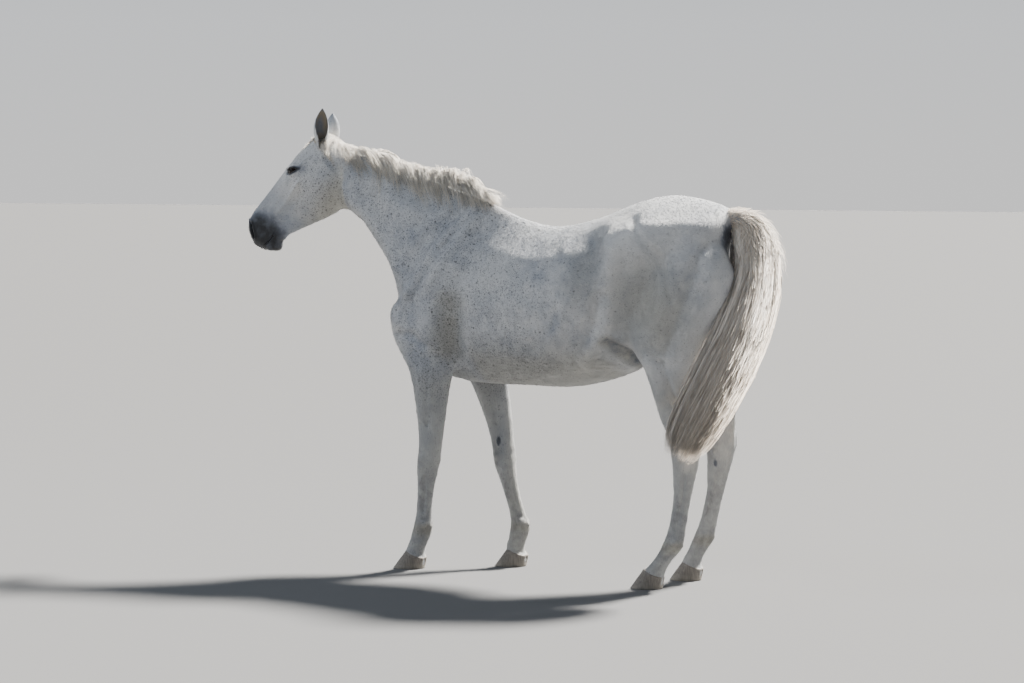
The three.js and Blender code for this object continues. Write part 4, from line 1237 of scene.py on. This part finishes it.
def lie_of_coat(places, normals):
    """Direction in which the hair lies at each place, in the row's frame."""
    body = to_body(places)
    x, y, z = body.T
    head = head_frame(body)
    flow = np.zeros((len(body), 3)) + TRUNK_WAY
    sideways = smoothstep(0.45, 0.85, np.abs(normals[:, 0]) + 1.2 * (z < 880))
    for share, way in (
        (smoothstep(60, -120, y), NECK_WAY),
        (smoothstep(1040, 1300, y), RUMP_WAY),
        (smoothstep(980, 800, z) * sideways, LEG_WAY),
    ):
        flow += share[:, None] * (way - flow)
    whorl_y, whorl_z, whorl_radius = FLANK_WHORL
    flow[:, 2] += 1.1 * fade(np.hypot(y - whorl_y, z - whorl_z) / whorl_radius)
    back = smoothstep(0.75, 0.97, normals[:, 2])
    flow[:, 2] *= 1 - back
    flow[:, 0] += 0.35 * back * np.sign(x)
    face = NOSE_WAY + 0.35 * np.stack([np.sign(x), 0 * y, 0 * y], 1)
    face += smoothstep(-60, -200, head[:, 2])[:, None] * (JAW_WAY - face)
    on_head = smoothstep(10, 90, head[:, 1]) * (y < -400)
    flow += on_head[:, None] * (face - flow)
    angle = NECK_TURN * np.clip((TURN_START - y) / TURN_LENGTH, 0, 1)
    side = flow[:, 0] * np.cos(angle) - flow[:, 1] * np.sin(angle)
    ahead = flow[:, 0] * np.sin(angle) + flow[:, 1] * np.cos(angle)
    flow[:, 0], flow[:, 1] = side, ahead
    return along_surface(flow, normals)


PATCH = 0.0015                             # half the size of a tuft's patch on the unwrap
TRIANGLE = np.array([(-1.0, 0.0), (1.0, 0.0), (0.0, 1.0)])


def hair_faces(rings):
    """Triangles of one three-sided hair, closed at its root and pointed at its tip."""
    faces = [(0, 2, 1)]
    for ring in range(rings - 2):
        for k in range(3):
            a, b = ring * 3 + k, ring * 3 + (k + 1) % 3
            faces += [(a, b, b + 3), (a, b + 3, a + 3)]
    last = (rings - 2) * 3
    faces += [(last + k, last + (k + 1) % 3, last + 3) for k in range(3)]
    return np.array(faces)


def hair_piece(name, paths, half_widths, across, thickness, normals, uv, marks_of, material):
    """One mesh of closed three-sided hairs. paths is hairs by rings by 3; the last ring is the tip."""
    count, rings, _ = paths.shape
    tangent = unit(np.gradient(paths, axis=1))
    wide = unit(across - tangent * (across * tangent).sum(2, keepdims=True))
    deep = np.cross(tangent, wide)[:, :-1, None]
    wide = wide[:, :-1, None]
    half = half_widths[:, :-1, None, None]
    offsets = half * (TRIANGLE[:, :1] * wide + thickness * TRIANGLE[:, 1:] * deep)
    sides = (paths[:, :-1, None] + offsets).reshape(count, -1, 3)
    points = np.concatenate([sides, paths[:, -1:]], 1)
    per = points.shape[1]
    faces = (hair_faces(rings)[None] + np.arange(count)[:, None, None] * per).reshape(-1, 3)
    piece = make_mesh(name, points.reshape(-1, 3), faces)
    along = np.append(np.repeat(np.arange(rings - 1), 3), rings - 1) / (rings - 1)
    beside = np.append(np.tile([-1.0, 1.0, 0.0], rings - 1), 0.0)
    patch = np.stack([beside, 2 * along - 1], 1) * PATCH
    corner_uv = np.clip(uv[:, None, :] + patch[None], 0.001, 0.999).reshape(-1, 2)
    layer = piece.data.uv_layers.new(name="OFBake")
    layer.data.foreach_set("uv", corner_uv[faces.ravel()].astype(np.float32).ravel())
    for key, values in marks_of.items():
        put_attribute(piece.data, key, np.repeat(values, per))
    put_attribute(piece.data, "tone", np.repeat(rng.rand(count), per))
    put_attribute(piece.data, "ends", np.tile(along, count))
    if normals is not None:
        piece.data.normals_split_custom_set_from_vertices(np.repeat(normals, per, axis=0).tolist())
    piece.data.materials.append(material)
    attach(piece, "root")
    return piece


# ---------------------------------------------------------------- short coat
COAT_PIECES, TUFTS_PER_PIECE = 3, 19000
TUFT_THICK = 0.35                          # thickness of a tuft as a share of its half width
TUFT_SUNK = 0.0008                         # depth of its root in the skin, in metres


def coat_fringe(body, normals, on_head):
    """Share of the places where the coat stands off and breaks the form."""
    _, y, z = body.T
    h = head_frame(body)[:, 2]
    belly = smoothstep(-0.5, -0.95, normals[:, 2]) * (z > 800) * (y > 60)
    fetlock = (z < 240) * fade((z - 165) / 70) * smoothstep(0.2, 0.8, normals[:, 1])
    chest = smoothstep(0.5, 0.9, -normals[:, 1]) * (y < 40) * (z < 1150) * (z > 850)
    jaw = on_head * smoothstep(-150, -230, h)
    throat = fade(np.hypot(y - HEAD_Y, z - 1560) / 90)
    elbow = fade(np.hypot(y - 175, z - 930) / 90)
    flank = fade(np.hypot(y - 900, z - 930) / 120)
    return most(0.45 * belly, fetlock, 0.5 * chest, 0.9 * jaw, 0.8 * throat, 0.8 * elbow, 0.8 * flank)


def coat_sizes(places, normals):
    """Density, length, half width and rise of the tufts at each place, in millimetres."""
    body = to_body(places)
    _, y, z = body.T
    head = head_frame(body)
    s = head[:, 1]
    on_head = smoothstep(-30, 60, s) * (y < HEAD_Y)
    leg = 1 - smoothstep(560, 900, z)
    fringe = coat_fringe(body, normals, on_head)
    length = (19 - 9 * leg) * (1 - on_head) + 8 * on_head
    length += fringe * np.where(on_head > 0.5, 8, np.where(z < 240, 16, 9))
    half = 1.5 - 0.6 * leg - 0.9 * on_head
    rise = 1.7 - 0.5 * leg - 0.9 * on_head + fringe * 2.6
    density = 1 + 0.7 * leg + 2.6 * on_head
    density = density * (1 - 0.96 * smoothstep(395, 450, s) * (y < HEAD_Y))
    for side in SIDES.values():
        centre, _, along, up = eye_axes(side)
        gap, _ = lid_gap((head - centre) @ along, (head - centre) @ up)
        near = np.linalg.norm(head - centre, axis=1) < 60
        density = density * np.where(near, smoothstep(5, 12, gap), 1)
        length = np.where(near, np.minimum(length, 5.5), length)
    ear = smoothstep(1822, 1850, z)
    length, half, rise = length * (1 - 0.35 * ear), half * (1 - 0.3 * ear), rise * (1 - 0.6 * ear)
    return density * smoothstep(82, 100, z), length, half, rise


def add_coat(surface):
    """Flat overlapping tufts all over the skin, a little raised where the coat breaks the form."""
    material = coat_material()
    density, *_ = coat_sizes(surface.points, surface.normals)
    density = density * (1 - marks_at(surface.points, surface.normals)["lining"])
    for number in range(COAT_PIECES):
        root, normal, uv = surface.sample(TUFTS_PER_PIECE, density)
        _, length, half, rise = coat_sizes(root, normal)
        length = length * rng.uniform(0.7, 1.25, len(root)) / 1000
        half = half * rng.uniform(0.7, 1.2, len(root)) / 1000
        rise = rise * rng.uniform(0.5, 1.25, len(root)) / 1000
        flow = lie_of_coat(root, normal)
        swing = rng.normal(0, 0.16, len(root))[:, None]
        flow = along_surface(flow + swing * np.cross(normal, flow), normal)
        tip_base, tip_normal, _ = surface.nearest(root + flow * length[:, None])
        tip = tip_base + tip_normal * rise[:, None]
        middle = root + (tip_base - root) * 0.5 + normal * (0.55 * rise + 0.0004)[:, None]
        paths = np.stack([root - normal * TUFT_SUNK, middle, tip], 1)
        widths = np.stack([0.7 * half, half, 0 * half], 1)
        across = np.repeat(np.cross(normal, flow)[:, None], 3, 1)
        shading = unit(normal + 0.3 * tip_normal)
        hair_piece(f"coat_{number + 1}", paths, widths, across, TUFT_THICK, shading, uv,
                   marks_at(root, normal), material)


# ---------------------------------------------------------------- mane and forelock
# Crest of the neck from the poll to behind the withers, as (y, z).
CREST = np.array([(-572, 1792), (-486, 1797), (-328, 1766), (-140, 1708), (30, 1650), (150, 1614),
                  (225, 1597), (320, 1561)], float)
# Along the crest: place among its points, how far the mane rises, falls and sweeps back, how upright it is.
MANE_ROWS = np.array([
    (0.1, 16, 22, 66, 0.2),
    (0.5, 34, 84, 116, 0.15),
    (1.2, 46, 146, 150, 0.1),
    (2.3, 50, 180, 150, 0.15),
    (3.3, 50, 172, 140, 0.25),
    (4.5, 64, 128, 98, 0.6),
    (5.5, 52, 88, 102, 0.55),
    (6.4, 18, 38, 104, 0.25),
    (6.85, 4, 12, 48, 0.05),
])
MANE_CLUMPS, MANE_STRANDS = 300, 14
MANE_RINGS = 9
LOCK_THICK = 1.6                           # thickness of a strand as a share of its half width
MANE_COLOURS = (0.99, 0.975, 0.94), (0.88, 0.77, 0.61)
MANE_OUT = 56                              # how far to the left the tips lie from the crest
MANE_OTHER_SIDE = 0.14                     # share of the locks that fall to the right, shorter


def soft_normals(normal, lean):
    """Shading directions for long hair: mostly those of the whole mass, a little of each hair's own."""
    return unit(normal + lean + rng.normal(0, 0.22, normal.shape))


def curve(a, b, c, steps):
    """Quadratic curves from a to c pulled towards b."""
    t = steps[None, :, None]
    return a[:, None] * (1 - t) ** 2 + b[:, None] * 2 * t * (1 - t) + c[:, None] * t * t


def random_across(paths):
    """A random direction for each hair, to lay its width in."""
    return np.broadcast_to(unit(rng.normal(0, 1, (len(paths), 1, 3))), paths.shape)


def taper(thick, steps, stops, shares):
    """Half widths in metres, from each hair's own in millimetres and its shares along the hair."""
    return np.outer(thick, np.interp(steps, stops, shares)) / 1000


def lifted(surface, paths, clearance, first=1):
    """Paths pushed out of the skin, to at least their clearance over it."""
    for ring in range(first, paths.shape[1]):
        base, normal, _ = surface.nearest(paths[:, ring])
        over = ((paths[:, ring] - base) * normal).sum(1)
        short = np.maximum(clearance - over, 0)
        short = np.where(np.linalg.norm(paths[:, ring] - base, axis=1) < 0.08, short, 0)
        paths[:, ring] += normal * short[:, None]
    return paths


def mane_paths(steps):
    """Locks rooted along the crest, rising, then falling left and back, with their places on it."""
    clump = np.repeat(np.arange(MANE_CLUMPS), MANE_STRANDS)
    count = len(clump)

    def each(values):
        return values[clump]

    def clump_draw(low, high):
        return each(rng.uniform(low, high, MANE_CLUMPS))

    place = rng.uniform(MANE_ROWS[0, 0], MANE_ROWS[-1, 0], MANE_CLUMPS)
    at = np.clip(each(place) + rng.normal(0, 0.05, count), MANE_ROWS[0, 0], MANE_ROWS[-1, 0])
    order = np.arange(len(CREST))
    y, z = (np.interp(at, order, CREST[:, k]) for k in (0, 1))
    clump_y, clump_z = (each(np.interp(place, order, CREST[:, k])) for k in (0, 1))
    stops, *columns = MANE_ROWS.T
    rise, fall, sweep, upright = (each(np.interp(place, stops, column)) for column in columns)
    stand = each(rng.rand(MANE_CLUMPS) < 0.6) * upright * clump_draw(0.5, 1.2)
    length = clump_draw(0.38, 1.14) * rng.uniform(0.62, 1.08, count)
    root_x = clump_draw(-12, 12) + rng.normal(0, 3, count)
    other_side = each(rng.rand(MANE_CLUMPS) < MANE_OTHER_SIDE)
    length = length * np.where(other_side, 0.6, 1)
    out = (MANE_OUT + each(rng.normal(0, 7, MANE_CLUMPS))) * (1 - 0.8 * stand)
    out = out * np.where(other_side, -0.6, 1)
    back = sweep * length * each(rng.normal(1, 0.3, MANE_CLUMPS))
    drop = -fall * length * (1 - stand) + rise * stand
    root = np.stack([root_x, y, z - 4], 1)
    gathered = np.stack([root_x * 0.5, clump_y + 0.6 * (y - clump_y), clump_z + 0.6 * (z - clump_z)], 1)
    lift = rise * clump_draw(1.4, 2.2) * (0.75 + 0.6 * stand)
    pull = root + np.stack([out * 0.5, back * 0.22, lift], 1)
    end = gathered + np.stack([out, back, drop], 1) + rng.normal(0, 5.5, (count, 3))
    paths = curve(root, pull, end, steps)
    phase, waves = clump_draw(0, 2 * math.pi), clump_draw(0.5, 1.15) * 2 * math.pi
    sway = np.sin(phase[:, None] + waves[:, None] * steps[None]) - np.sin(phase[:, None])
    paths[:, :, 2] += sway * 4.5 * steps[None]
    paths[:, :, 1] += sway * 5.5 * steps[None]
    loose = rng.normal(0, 3, (count, 3))
    paths += loose[:, None] * np.sin(math.pi * steps * 0.75)[None, :, None]
    return paths, at


def add_mane(surface):
    """The mane as one piece, shaded as a mass that stands off the neck."""
    steps = np.linspace(0, 1, MANE_RINGS)
    paths, at = mane_paths(steps)
    count = len(paths)
    paths = lifted(surface, to_row(paths), rng.uniform(0.002, 0.014, count))
    _, crest_normal, uv = surface.nearest(paths[:, 0])
    _, normal, _ = surface.nearest(paths[:, MANE_RINGS // 2])
    shading = soft_normals(normal + 0.6 * crest_normal, np.array([0, 0, 0.4]))
    thick = rng.uniform(0.5, 1.1, count) * np.interp(at, (0.3, 2.0), (0.6, 1))
    widths = taper(thick, steps, (0, 0.2, 0.6, 1), (0.8, 1, 0.8, 0.1))
    material = long_hair_material("mane_hair", (0.006, 0.006, 0.05), *MANE_COLOURS)
    piece = hair_piece("mane_locks", paths, widths, random_across(paths), LOCK_THICK, shading, uv, {},
                       material)
    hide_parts("mane")


FORELOCK_CLUMPS, FORELOCK_STRANDS = 16, 12
FORELOCK_COLOURS = (0.97, 0.955, 0.92), (0.88, 0.80, 0.68)


def add_forelock(surface):
    """Thin locks from the poll over the forehead."""
    steps = np.linspace(0, 1, MANE_RINGS)
    clump = np.repeat(np.arange(FORELOCK_CLUMPS), FORELOCK_STRANDS)
    count = len(clump)
    side = rng.uniform(-18, 18, FORELOCK_CLUMPS)[clump] + rng.normal(0, 3, count)
    start = rng.uniform(-12, 22, FORELOCK_CLUMPS)[clump] + rng.normal(0, 4, count)
    reach = rng.uniform(42, 96, FORELOCK_CLUMPS)[clump] * rng.uniform(0.7, 1.05, count)
    veer = rng.normal(5, 9, FORELOCK_CLUMPS)[clump]
    root = np.stack([side, start, np.full(count, 18.0)], 1)
    pull = np.stack([side, start + reach * 0.3, rng.uniform(24, 34, count)], 1)
    end = np.stack([side * 0.7 + veer, start + reach, rng.uniform(34, 44, count)], 1)
    paths = curve(root, pull, end, steps)
    phase = rng.uniform(0, 2 * math.pi, FORELOCK_CLUMPS)[clump]
    paths[:, :, 0] += np.sin(phase[:, None] + 7 * steps[None]) * 3 * steps[None]
    paths += rng.normal(0, 2.2, (count, 1, 3)) * steps[None, :, None]
    paths = lifted(surface, to_row(from_head(paths)), rng.uniform(0.001, 0.003, count))
    _, normal, uv = surface.nearest(paths[:, 0])
    shading = soft_normals(normal, np.array([0, 0, 0.2]))
    widths = taper(rng.uniform(0.7, 1.2, count), steps, (0, 0.2, 0.7, 1), (0.8, 1, 0.8, 0.1))
    material = long_hair_material("forelock_hair", (0.006, 0.006, 0.05), *FORELOCK_COLOURS)
    piece = hair_piece("forelock_locks", paths, widths, random_across(paths), LOCK_THICK, shading, uv, {},
                       material)
    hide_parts("forelock")


# ---------------------------------------------------------------- tail
# Centre of the hair, half width across it and half thickness: x, y, z, half, thick.
TAIL_ROWS = np.array([
    (0, 1390, 1500, 34, 34),
    (0, 1470, 1510, 40, 38),
    (6, 1542, 1476, 60, 46),
    (20, 1578, 1368, 82, 54),
    (64, 1572, 1200, 104, 55),
    (124, 1535, 1030, 115, 55),
    (184, 1478, 870, 121, 53),
    (232, 1416, 730, 116, 46),
    (262, 1364, 620, 100, 34),
    (272, 1332, 545, 58, 18),
], float)
TAIL_FACING = math.radians(32)
TAIL_STEPS = 91
TAIL_PIECES, TAIL_CLUMPS, TAIL_STRANDS, TAIL_RINGS = 3, 590, 6, 9
TAIL_FREE = 3.6                            # place along the tail below which all its hair hangs together
TAIL_END = 8.98                            # place along the tail where its last hair ends
TAIL_FUZZ = 700                            # short hairs round the root of the tail, in each piece
TAIL_COLOURS = (0.99, 0.965, 0.90), (0.90, 0.73, 0.56)
DOCK_PLACES, DOCK_RADII = (0.0, 1.0, 2.0, 3.0, 3.9, 4.6), (28, 27, 25, 19, 12, 5)     # along the tail
DOCK_RINGS, DOCK_SIDES = 40, 24


def tail_frames():
    """Centre, across and through directions and half sizes along the tail."""
    order = np.linspace(0, len(TAIL_ROWS) - 1, TAIL_STEPS)
    rows = np.stack([np.interp(order, np.arange(len(TAIL_ROWS)), TAIL_ROWS[:, k]) for k in range(5)], 1)
    padded = np.pad(rows, ((6, 6), (0, 0)), mode="reflect", reflect_type="odd")
    weight = np.hanning(13)
    for k in range(5):
        rows[:, k] = np.convolve(padded[:, k], weight / weight.sum(), mode="valid")
    centre = rows[:, :3]
    along = unit(np.gradient(centre, axis=0))
    outward = np.array([math.cos(TAIL_FACING), math.sin(TAIL_FACING), 0])
    across = unit(np.cross(along, outward))
    through = np.cross(across, along)
    return order, centre, across, through, rows[:, 3], rows[:, 4]


def read_rows(order, steps, *tables):
    """Each of the tables, which have three columns, read at places between their steps."""
    for table in tables:
        yield np.stack([np.interp(order, steps, column) for column in table.T], -1)


def tail_places(order, wide, deep):
    """Points of the body frame at a place along the tail and shares of its half sizes."""
    steps, *tables, half, thick = tail_frames()
    centre, across, through = read_rows(order, steps, *tables)
    width = np.interp(order, steps, half) * wide
    depth = np.interp(order, steps, thick) * deep
    return centre + across * width[..., None] + through * depth[..., None]


def tail_locks(steps):
    """Paths and widths of the long locks, gathered in clumps rooted all over the dock."""
    clump = np.repeat(np.arange(TAIL_CLUMPS), TAIL_STRANDS)
    count = len(clump)

    def each(values):
        return values[clump]

    angle = each(rng.uniform(0, 2 * math.pi, TAIL_CLUMPS)) + rng.normal(0, 0.10, count)
    radius = each(np.sqrt(rng.uniform(0.10, 1, TAIL_CLUMPS))) * rng.uniform(0.88, 1.04, count)
    start = 0.1 + 3.6 * each(rng.rand(TAIL_CLUMPS) ** 1.1) + rng.normal(0, 0.06, count)
    end = each(9.0 - 2.4 * rng.rand(TAIL_CLUMPS) ** 1.2) - 1.1 * rng.rand(count) ** 2
    broken = rng.rand(count) < 0.10
    end = np.where(broken, start + rng.uniform(0.8, 3.0, count), np.maximum(end, start + 2.2))
    end = np.minimum(end, TAIL_END)
    order = start[:, None] + (end - start)[:, None] * steps[None]
    grown = smoothstep(0, 1.6, order - start[:, None])
    reach = radius[:, None] * (0.40 + 0.60 * grown)
    drawn_in = each(rng.rand(TAIL_CLUMPS))[:, None] * smoothstep(0.6, 1, steps)[None]
    reach = reach * (1 - 0.12 * drawn_in)
    phase = each(rng.uniform(0, 2 * math.pi, TAIL_CLUMPS))
    pace = each(rng.uniform(0.5, 1.1, TAIL_CLUMPS))
    sway = np.sin(phase[:, None] + pace[:, None] * order * 1.5)
    twist = each(rng.normal(0, 1, TAIL_CLUMPS))[:, None] * steps[None]
    turn = angle[:, None] + 0.06 * sway + 0.12 * twist
    paths = tail_places(order, np.cos(turn) * reach, np.sin(turn) * reach)
    first = tail_places(start, np.cos(turn[:, 0]) * reach[:, 0], np.sin(turn[:, 0]) * reach[:, 0])
    hung = tail_places(np.full(count, TAIL_FREE), np.cos(angle) * radius, np.sin(angle) * radius)
    share = np.clip((order - start[:, None]) / np.maximum(TAIL_FREE - start[:, None], 0.1), 0, 1)[..., None]
    straight = first[:, None] * (1 - share) + hung[:, None] * share
    inner = most(smoothstep(0.5, -0.3, np.sin(angle)), smoothstep(-0.3, 0.4, np.cos(angle)))
    under = (inner * (start < TAIL_FREE - 0.3))[:, None, None]
    loose_share = 4 * share * (1 - share) * under
    paths = paths + 0.85 * np.minimum(loose_share, 1) * (straight - paths)
    paths += rng.normal(0, 4.0, (count, 1, 3)) * steps[None, :, None]
    return paths, taper(rng.uniform(0.7, 1.5, count), steps, (0, 0.1, 0.7, 1), (0.7, 1, 0.8, 0.1))


def dock_fuzz(steps, count):
    """Short hairs that stand off the root of the tail."""
    start = 3.0 * rng.rand(count) ** 1.3
    angle = rng.uniform(0, 2 * math.pi, count)
    order = start[:, None] + rng.uniform(0.25, 0.7, count)[:, None] * steps[None]
    low, high = rng.uniform(0.5, 0.8, count), rng.uniform(0.95, 1.30, count)
    reach = low[:, None] + (high - low)[:, None] * np.sin(steps * math.pi / 2)[None]
    turn = angle[:, None] + rng.normal(0, 0.2, count)[:, None] * steps[None]
    paths = tail_places(order, np.cos(turn) * reach, np.sin(turn) * reach)
    return paths, taper(rng.uniform(0.45, 0.8, count), steps, (0, 0.3, 1), (0.9, 1, 0.1))


def add_tail(surface):
    """Long locks and short fuzz from all over the dock, in several pieces."""
    steps = np.linspace(0, 1, TAIL_RINGS)
    material = long_hair_material("tail_hair", (0.005, 0.005, 0.09), *TAIL_COLOURS)
    _, centre, *_ = tail_frames()
    for number in range(TAIL_PIECES):
        long, fuzz = tail_locks(steps), dock_fuzz(steps, TAIL_FUZZ)
        paths, widths = (np.concatenate(pair) for pair in zip(long, fuzz))
        middle = paths[:, TAIL_RINGS // 2]
        inside = centre[np.linalg.norm(middle[:, None] - centre[None], axis=2).argmin(1)]
        paths = to_row(paths)
        across = random_across(paths)
        _, _, uv = surface.nearest(paths[:, 0])
        shading = soft_normals(unit(middle - inside), np.array([0, 0, 0.9]))
        piece = hair_piece(f"tail_locks_{number + 1}", paths, widths, across, LOCK_THICK, shading, uv, {},
                           material)
        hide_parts("tail")


def add_dock():
    """The fleshy root of the tail, grey where its hair parts."""
    order = np.linspace(DOCK_PLACES[0], DOCK_PLACES[-1], DOCK_RINGS)
    radius = np.interp(order, DOCK_PLACES, DOCK_RADII)[:, None, None]
    steps, *tables, _, _ = tail_frames()
    centre, across, through = (table[:, None] for table in read_rows(order, steps, *tables))
    turn = np.arange(DOCK_SIDES)[:, None] * 2 * math.pi / DOCK_SIDES
    rings = centre + radius * (np.cos(turn) * across + np.sin(turn) * through)
    dock = tube_mesh("dock", to_row(rings).reshape(-1, 3), DOCK_RINGS, DOCK_SIDES)
    dock.data.shade_smooth()
    material, _, _ = new_material("dock", {"Base Color": (*GREY_HAIR_AND_SKY_SHADE, 1), "Roughness": 0.7})
    dock.data.materials.append(material)
    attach(dock, "root")
    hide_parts("tail")


# ---------------------------------------------------------------- lashes
LASHES = 46
LASH_ROW = math.radians(18), math.radians(158)            # first and last lash round the upper lid
LASH_EDGE = 1.12                           # size of the row over that of the opening of the lids
LASH_RADIUS = 0.28
LASH_COLOURS = (0.03, 0.028, 0.028), (0.06, 0.055, 0.05)


def add_lashes(surface):
    """A row of short lashes along each upper lid, curved out and up."""
    steps = np.linspace(0, 1, 5)
    material = long_hair_material("lash", (0.01, 0.01, 0.01), *LASH_COLOURS)
    for name, side in SIDES.items():
        centre, outward, length, up = eye_axes(side)
        turn = np.linspace(*LASH_ROW, LASHES) + rng.normal(0, 0.02, LASHES)
        reach = (np.abs(np.cos(turn)) ** LID_POINT + np.abs(np.sin(turn)) ** LID_POINT) ** (-1 / LID_POINT)
        u = np.cos(turn) * reach * LASH_EDGE * LID_HALF_LENGTH
        v = np.sin(turn) * reach * LASH_EDGE * UPPER_LID
        w = np.sqrt(np.maximum((EYE_RADIUS + LID_THICK) ** 2 - u ** 2 - v ** 2, 9)) - 1.5
        size = (9 + 5 * np.sin(turn)) * rng.uniform(0.75, 1.1, LASHES)
        root = centre + np.outer(u, length) + np.outer(v, up) + np.outer(w, outward)
        ahead = np.outer(u / LID_HALF_LENGTH, length) * 0.5 + outward + 0.25 * up
        ahead = unit(ahead + rng.normal(0, 0.08, (LASHES, 3)))
        pull = root + ahead * (size * 0.55)[:, None] - up * 0.6
        end = root + ahead * size[:, None] + up * (size * 0.22)[:, None]
        paths = to_row(from_head(curve(root, pull, end, steps)))
        widths = taper(np.full(LASHES, LASH_RADIUS), steps, steps, (1, 1, 0.8, 0.5, 0.1))
        _, _, uv = surface.nearest(paths[:, 0])
        hair_piece(f"lashes_{name}", paths, widths, random_across(paths), LOCK_THICK, None, uv, {},
                   material)


# ---------------------------------------------------------------- floor, light and camera
CAMERA_PLACE = Vector((10.196, 6.382, 1.72))
CAMERA_AHEAD = Vector((-0.848, -0.530, 0))
CAMERA_PITCH = math.radians(3.53)
CAMERA_LENS = 100
# Lights stand off from the middle of the horse: away from the camera, to its right, up.
HORSE_MIDDLE = Vector((0, 0, 1.0))
SUN_WAY = (4.0, 5.25, 7.25)
SUN = {"energy": 21.5, "angle": math.radians(9), "color": (1.0, 0.965, 0.91)}
PANEL_WAY = (-1.5, -6.0, 6.5)
PANEL = {"shape": "DISK", "size": 3.5, "energy": 280, "color": (0.84, 0.91, 1.0)}
FLOOR_REACH, FLOOR_GREY = 90, 0.149        # metres, and its brightness
SKY_COLOUR, SKY_STRENGTH, HORIZON_STRENGTH = (0.72, 0.84, 1.0), 0.22, 0.84


def add_floor():
    """Grey ground that reaches to the horizon."""
    corners = FLOOR_REACH * np.array([(-1, -1, 0), (1, -1, 0), (1, 1, 0), (-1, 1, 0)])
    floor = make_mesh("floor", corners, np.array([(0, 1, 2, 3)]))
    material, _, _ = new_material("floor", {"Base Color": (FLOOR_GREY, FLOOR_GREY, FLOOR_GREY, 1),
                                            "Roughness": 0.9})
    floor.data.materials.append(material)


def aimed(name, data, place, ahead):
    """A lamp or camera at a place, turned to look ahead."""
    holder = in_scene(name, data)
    holder.location = place
    holder.rotation_mode = "QUATERNION"
    holder.rotation_quaternion = ahead.to_track_quat("-Z", "Y")
    return holder


def add_light(name, kind, way, settings):
    """A light that faces the middle of the horse."""
    lamp = bpy.data.lights.new(name, kind)
    for key, value in settings.items():
        setattr(lamp, key, value)
    away, across, up = way
    right = Vector((CAMERA_AHEAD.y, -CAMERA_AHEAD.x, 0))
    place = HORSE_MIDDLE + CAMERA_AHEAD * away + right * across + Vector((0, 0, up))
    aimed(name, lamp, place, HORSE_MIDDLE - place)


def add_sky():
    """Pale light from all round, brightest and whitest at the horizon."""
    world = bpy.data.worlds.new("studio")
    world.use_nodes = True
    nodes = Nodes(world.node_tree)
    back = world.node_tree.nodes["Background"]
    seen = nodes.add("ShaderNodeTexCoord").outputs["Generated"]
    up = nodes.add("ShaderNodeSeparateXYZ", {"Vector": seen}).outputs["Z"]
    nodes.put(back.inputs["Strength"], nodes.ramp(up, 0.05, 0.35, HORIZON_STRENGTH, SKY_STRENGTH))
    nodes.put(back.inputs["Color"], nodes.mix(nodes.ramp(up, 0.0, 0.3), (1, 1, 1), SKY_COLOUR))
    bpy.context.scene.world = world


def add_camera():
    """A viewer at eye height, to the horse's left and a little behind it."""
    lens = bpy.data.cameras.new("camera")
    lens.lens = CAMERA_LENS
    lens.sensor_width = 36
    lens.clip_end = 400
    ahead = CAMERA_AHEAD * math.cos(CAMERA_PITCH) - Vector((0, 0, math.sin(CAMERA_PITCH)))
    bpy.context.scene.camera = aimed("camera", lens, CAMERA_PLACE, ahead)


# ---------------------------------------------------------------- the whole horse
skin = whole_surface()
join_ears(skin)
refine_skin(skin)
sculpt(skin)
shape_muzzle(skin)
inset_skin(skin)
shape_eyes(skin)
unwrap(skin)
mark_skin(skin)
skin.data.materials.clear()
skin.data.materials.append(skin_material())
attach(skin, "root")
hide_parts(*FLESH)
add_eyeballs()
add_hooves()
surface = Surface(skin)
add_coat(surface)
add_mane(surface)
add_forelock(surface)
add_tail(surface)
add_dock()
add_lashes(surface)
add_floor()
add_light("key", "SUN", SUN_WAY, SUN)
add_light("sky", "AREA", PANEL_WAY, PANEL)
add_sky()
add_camera()
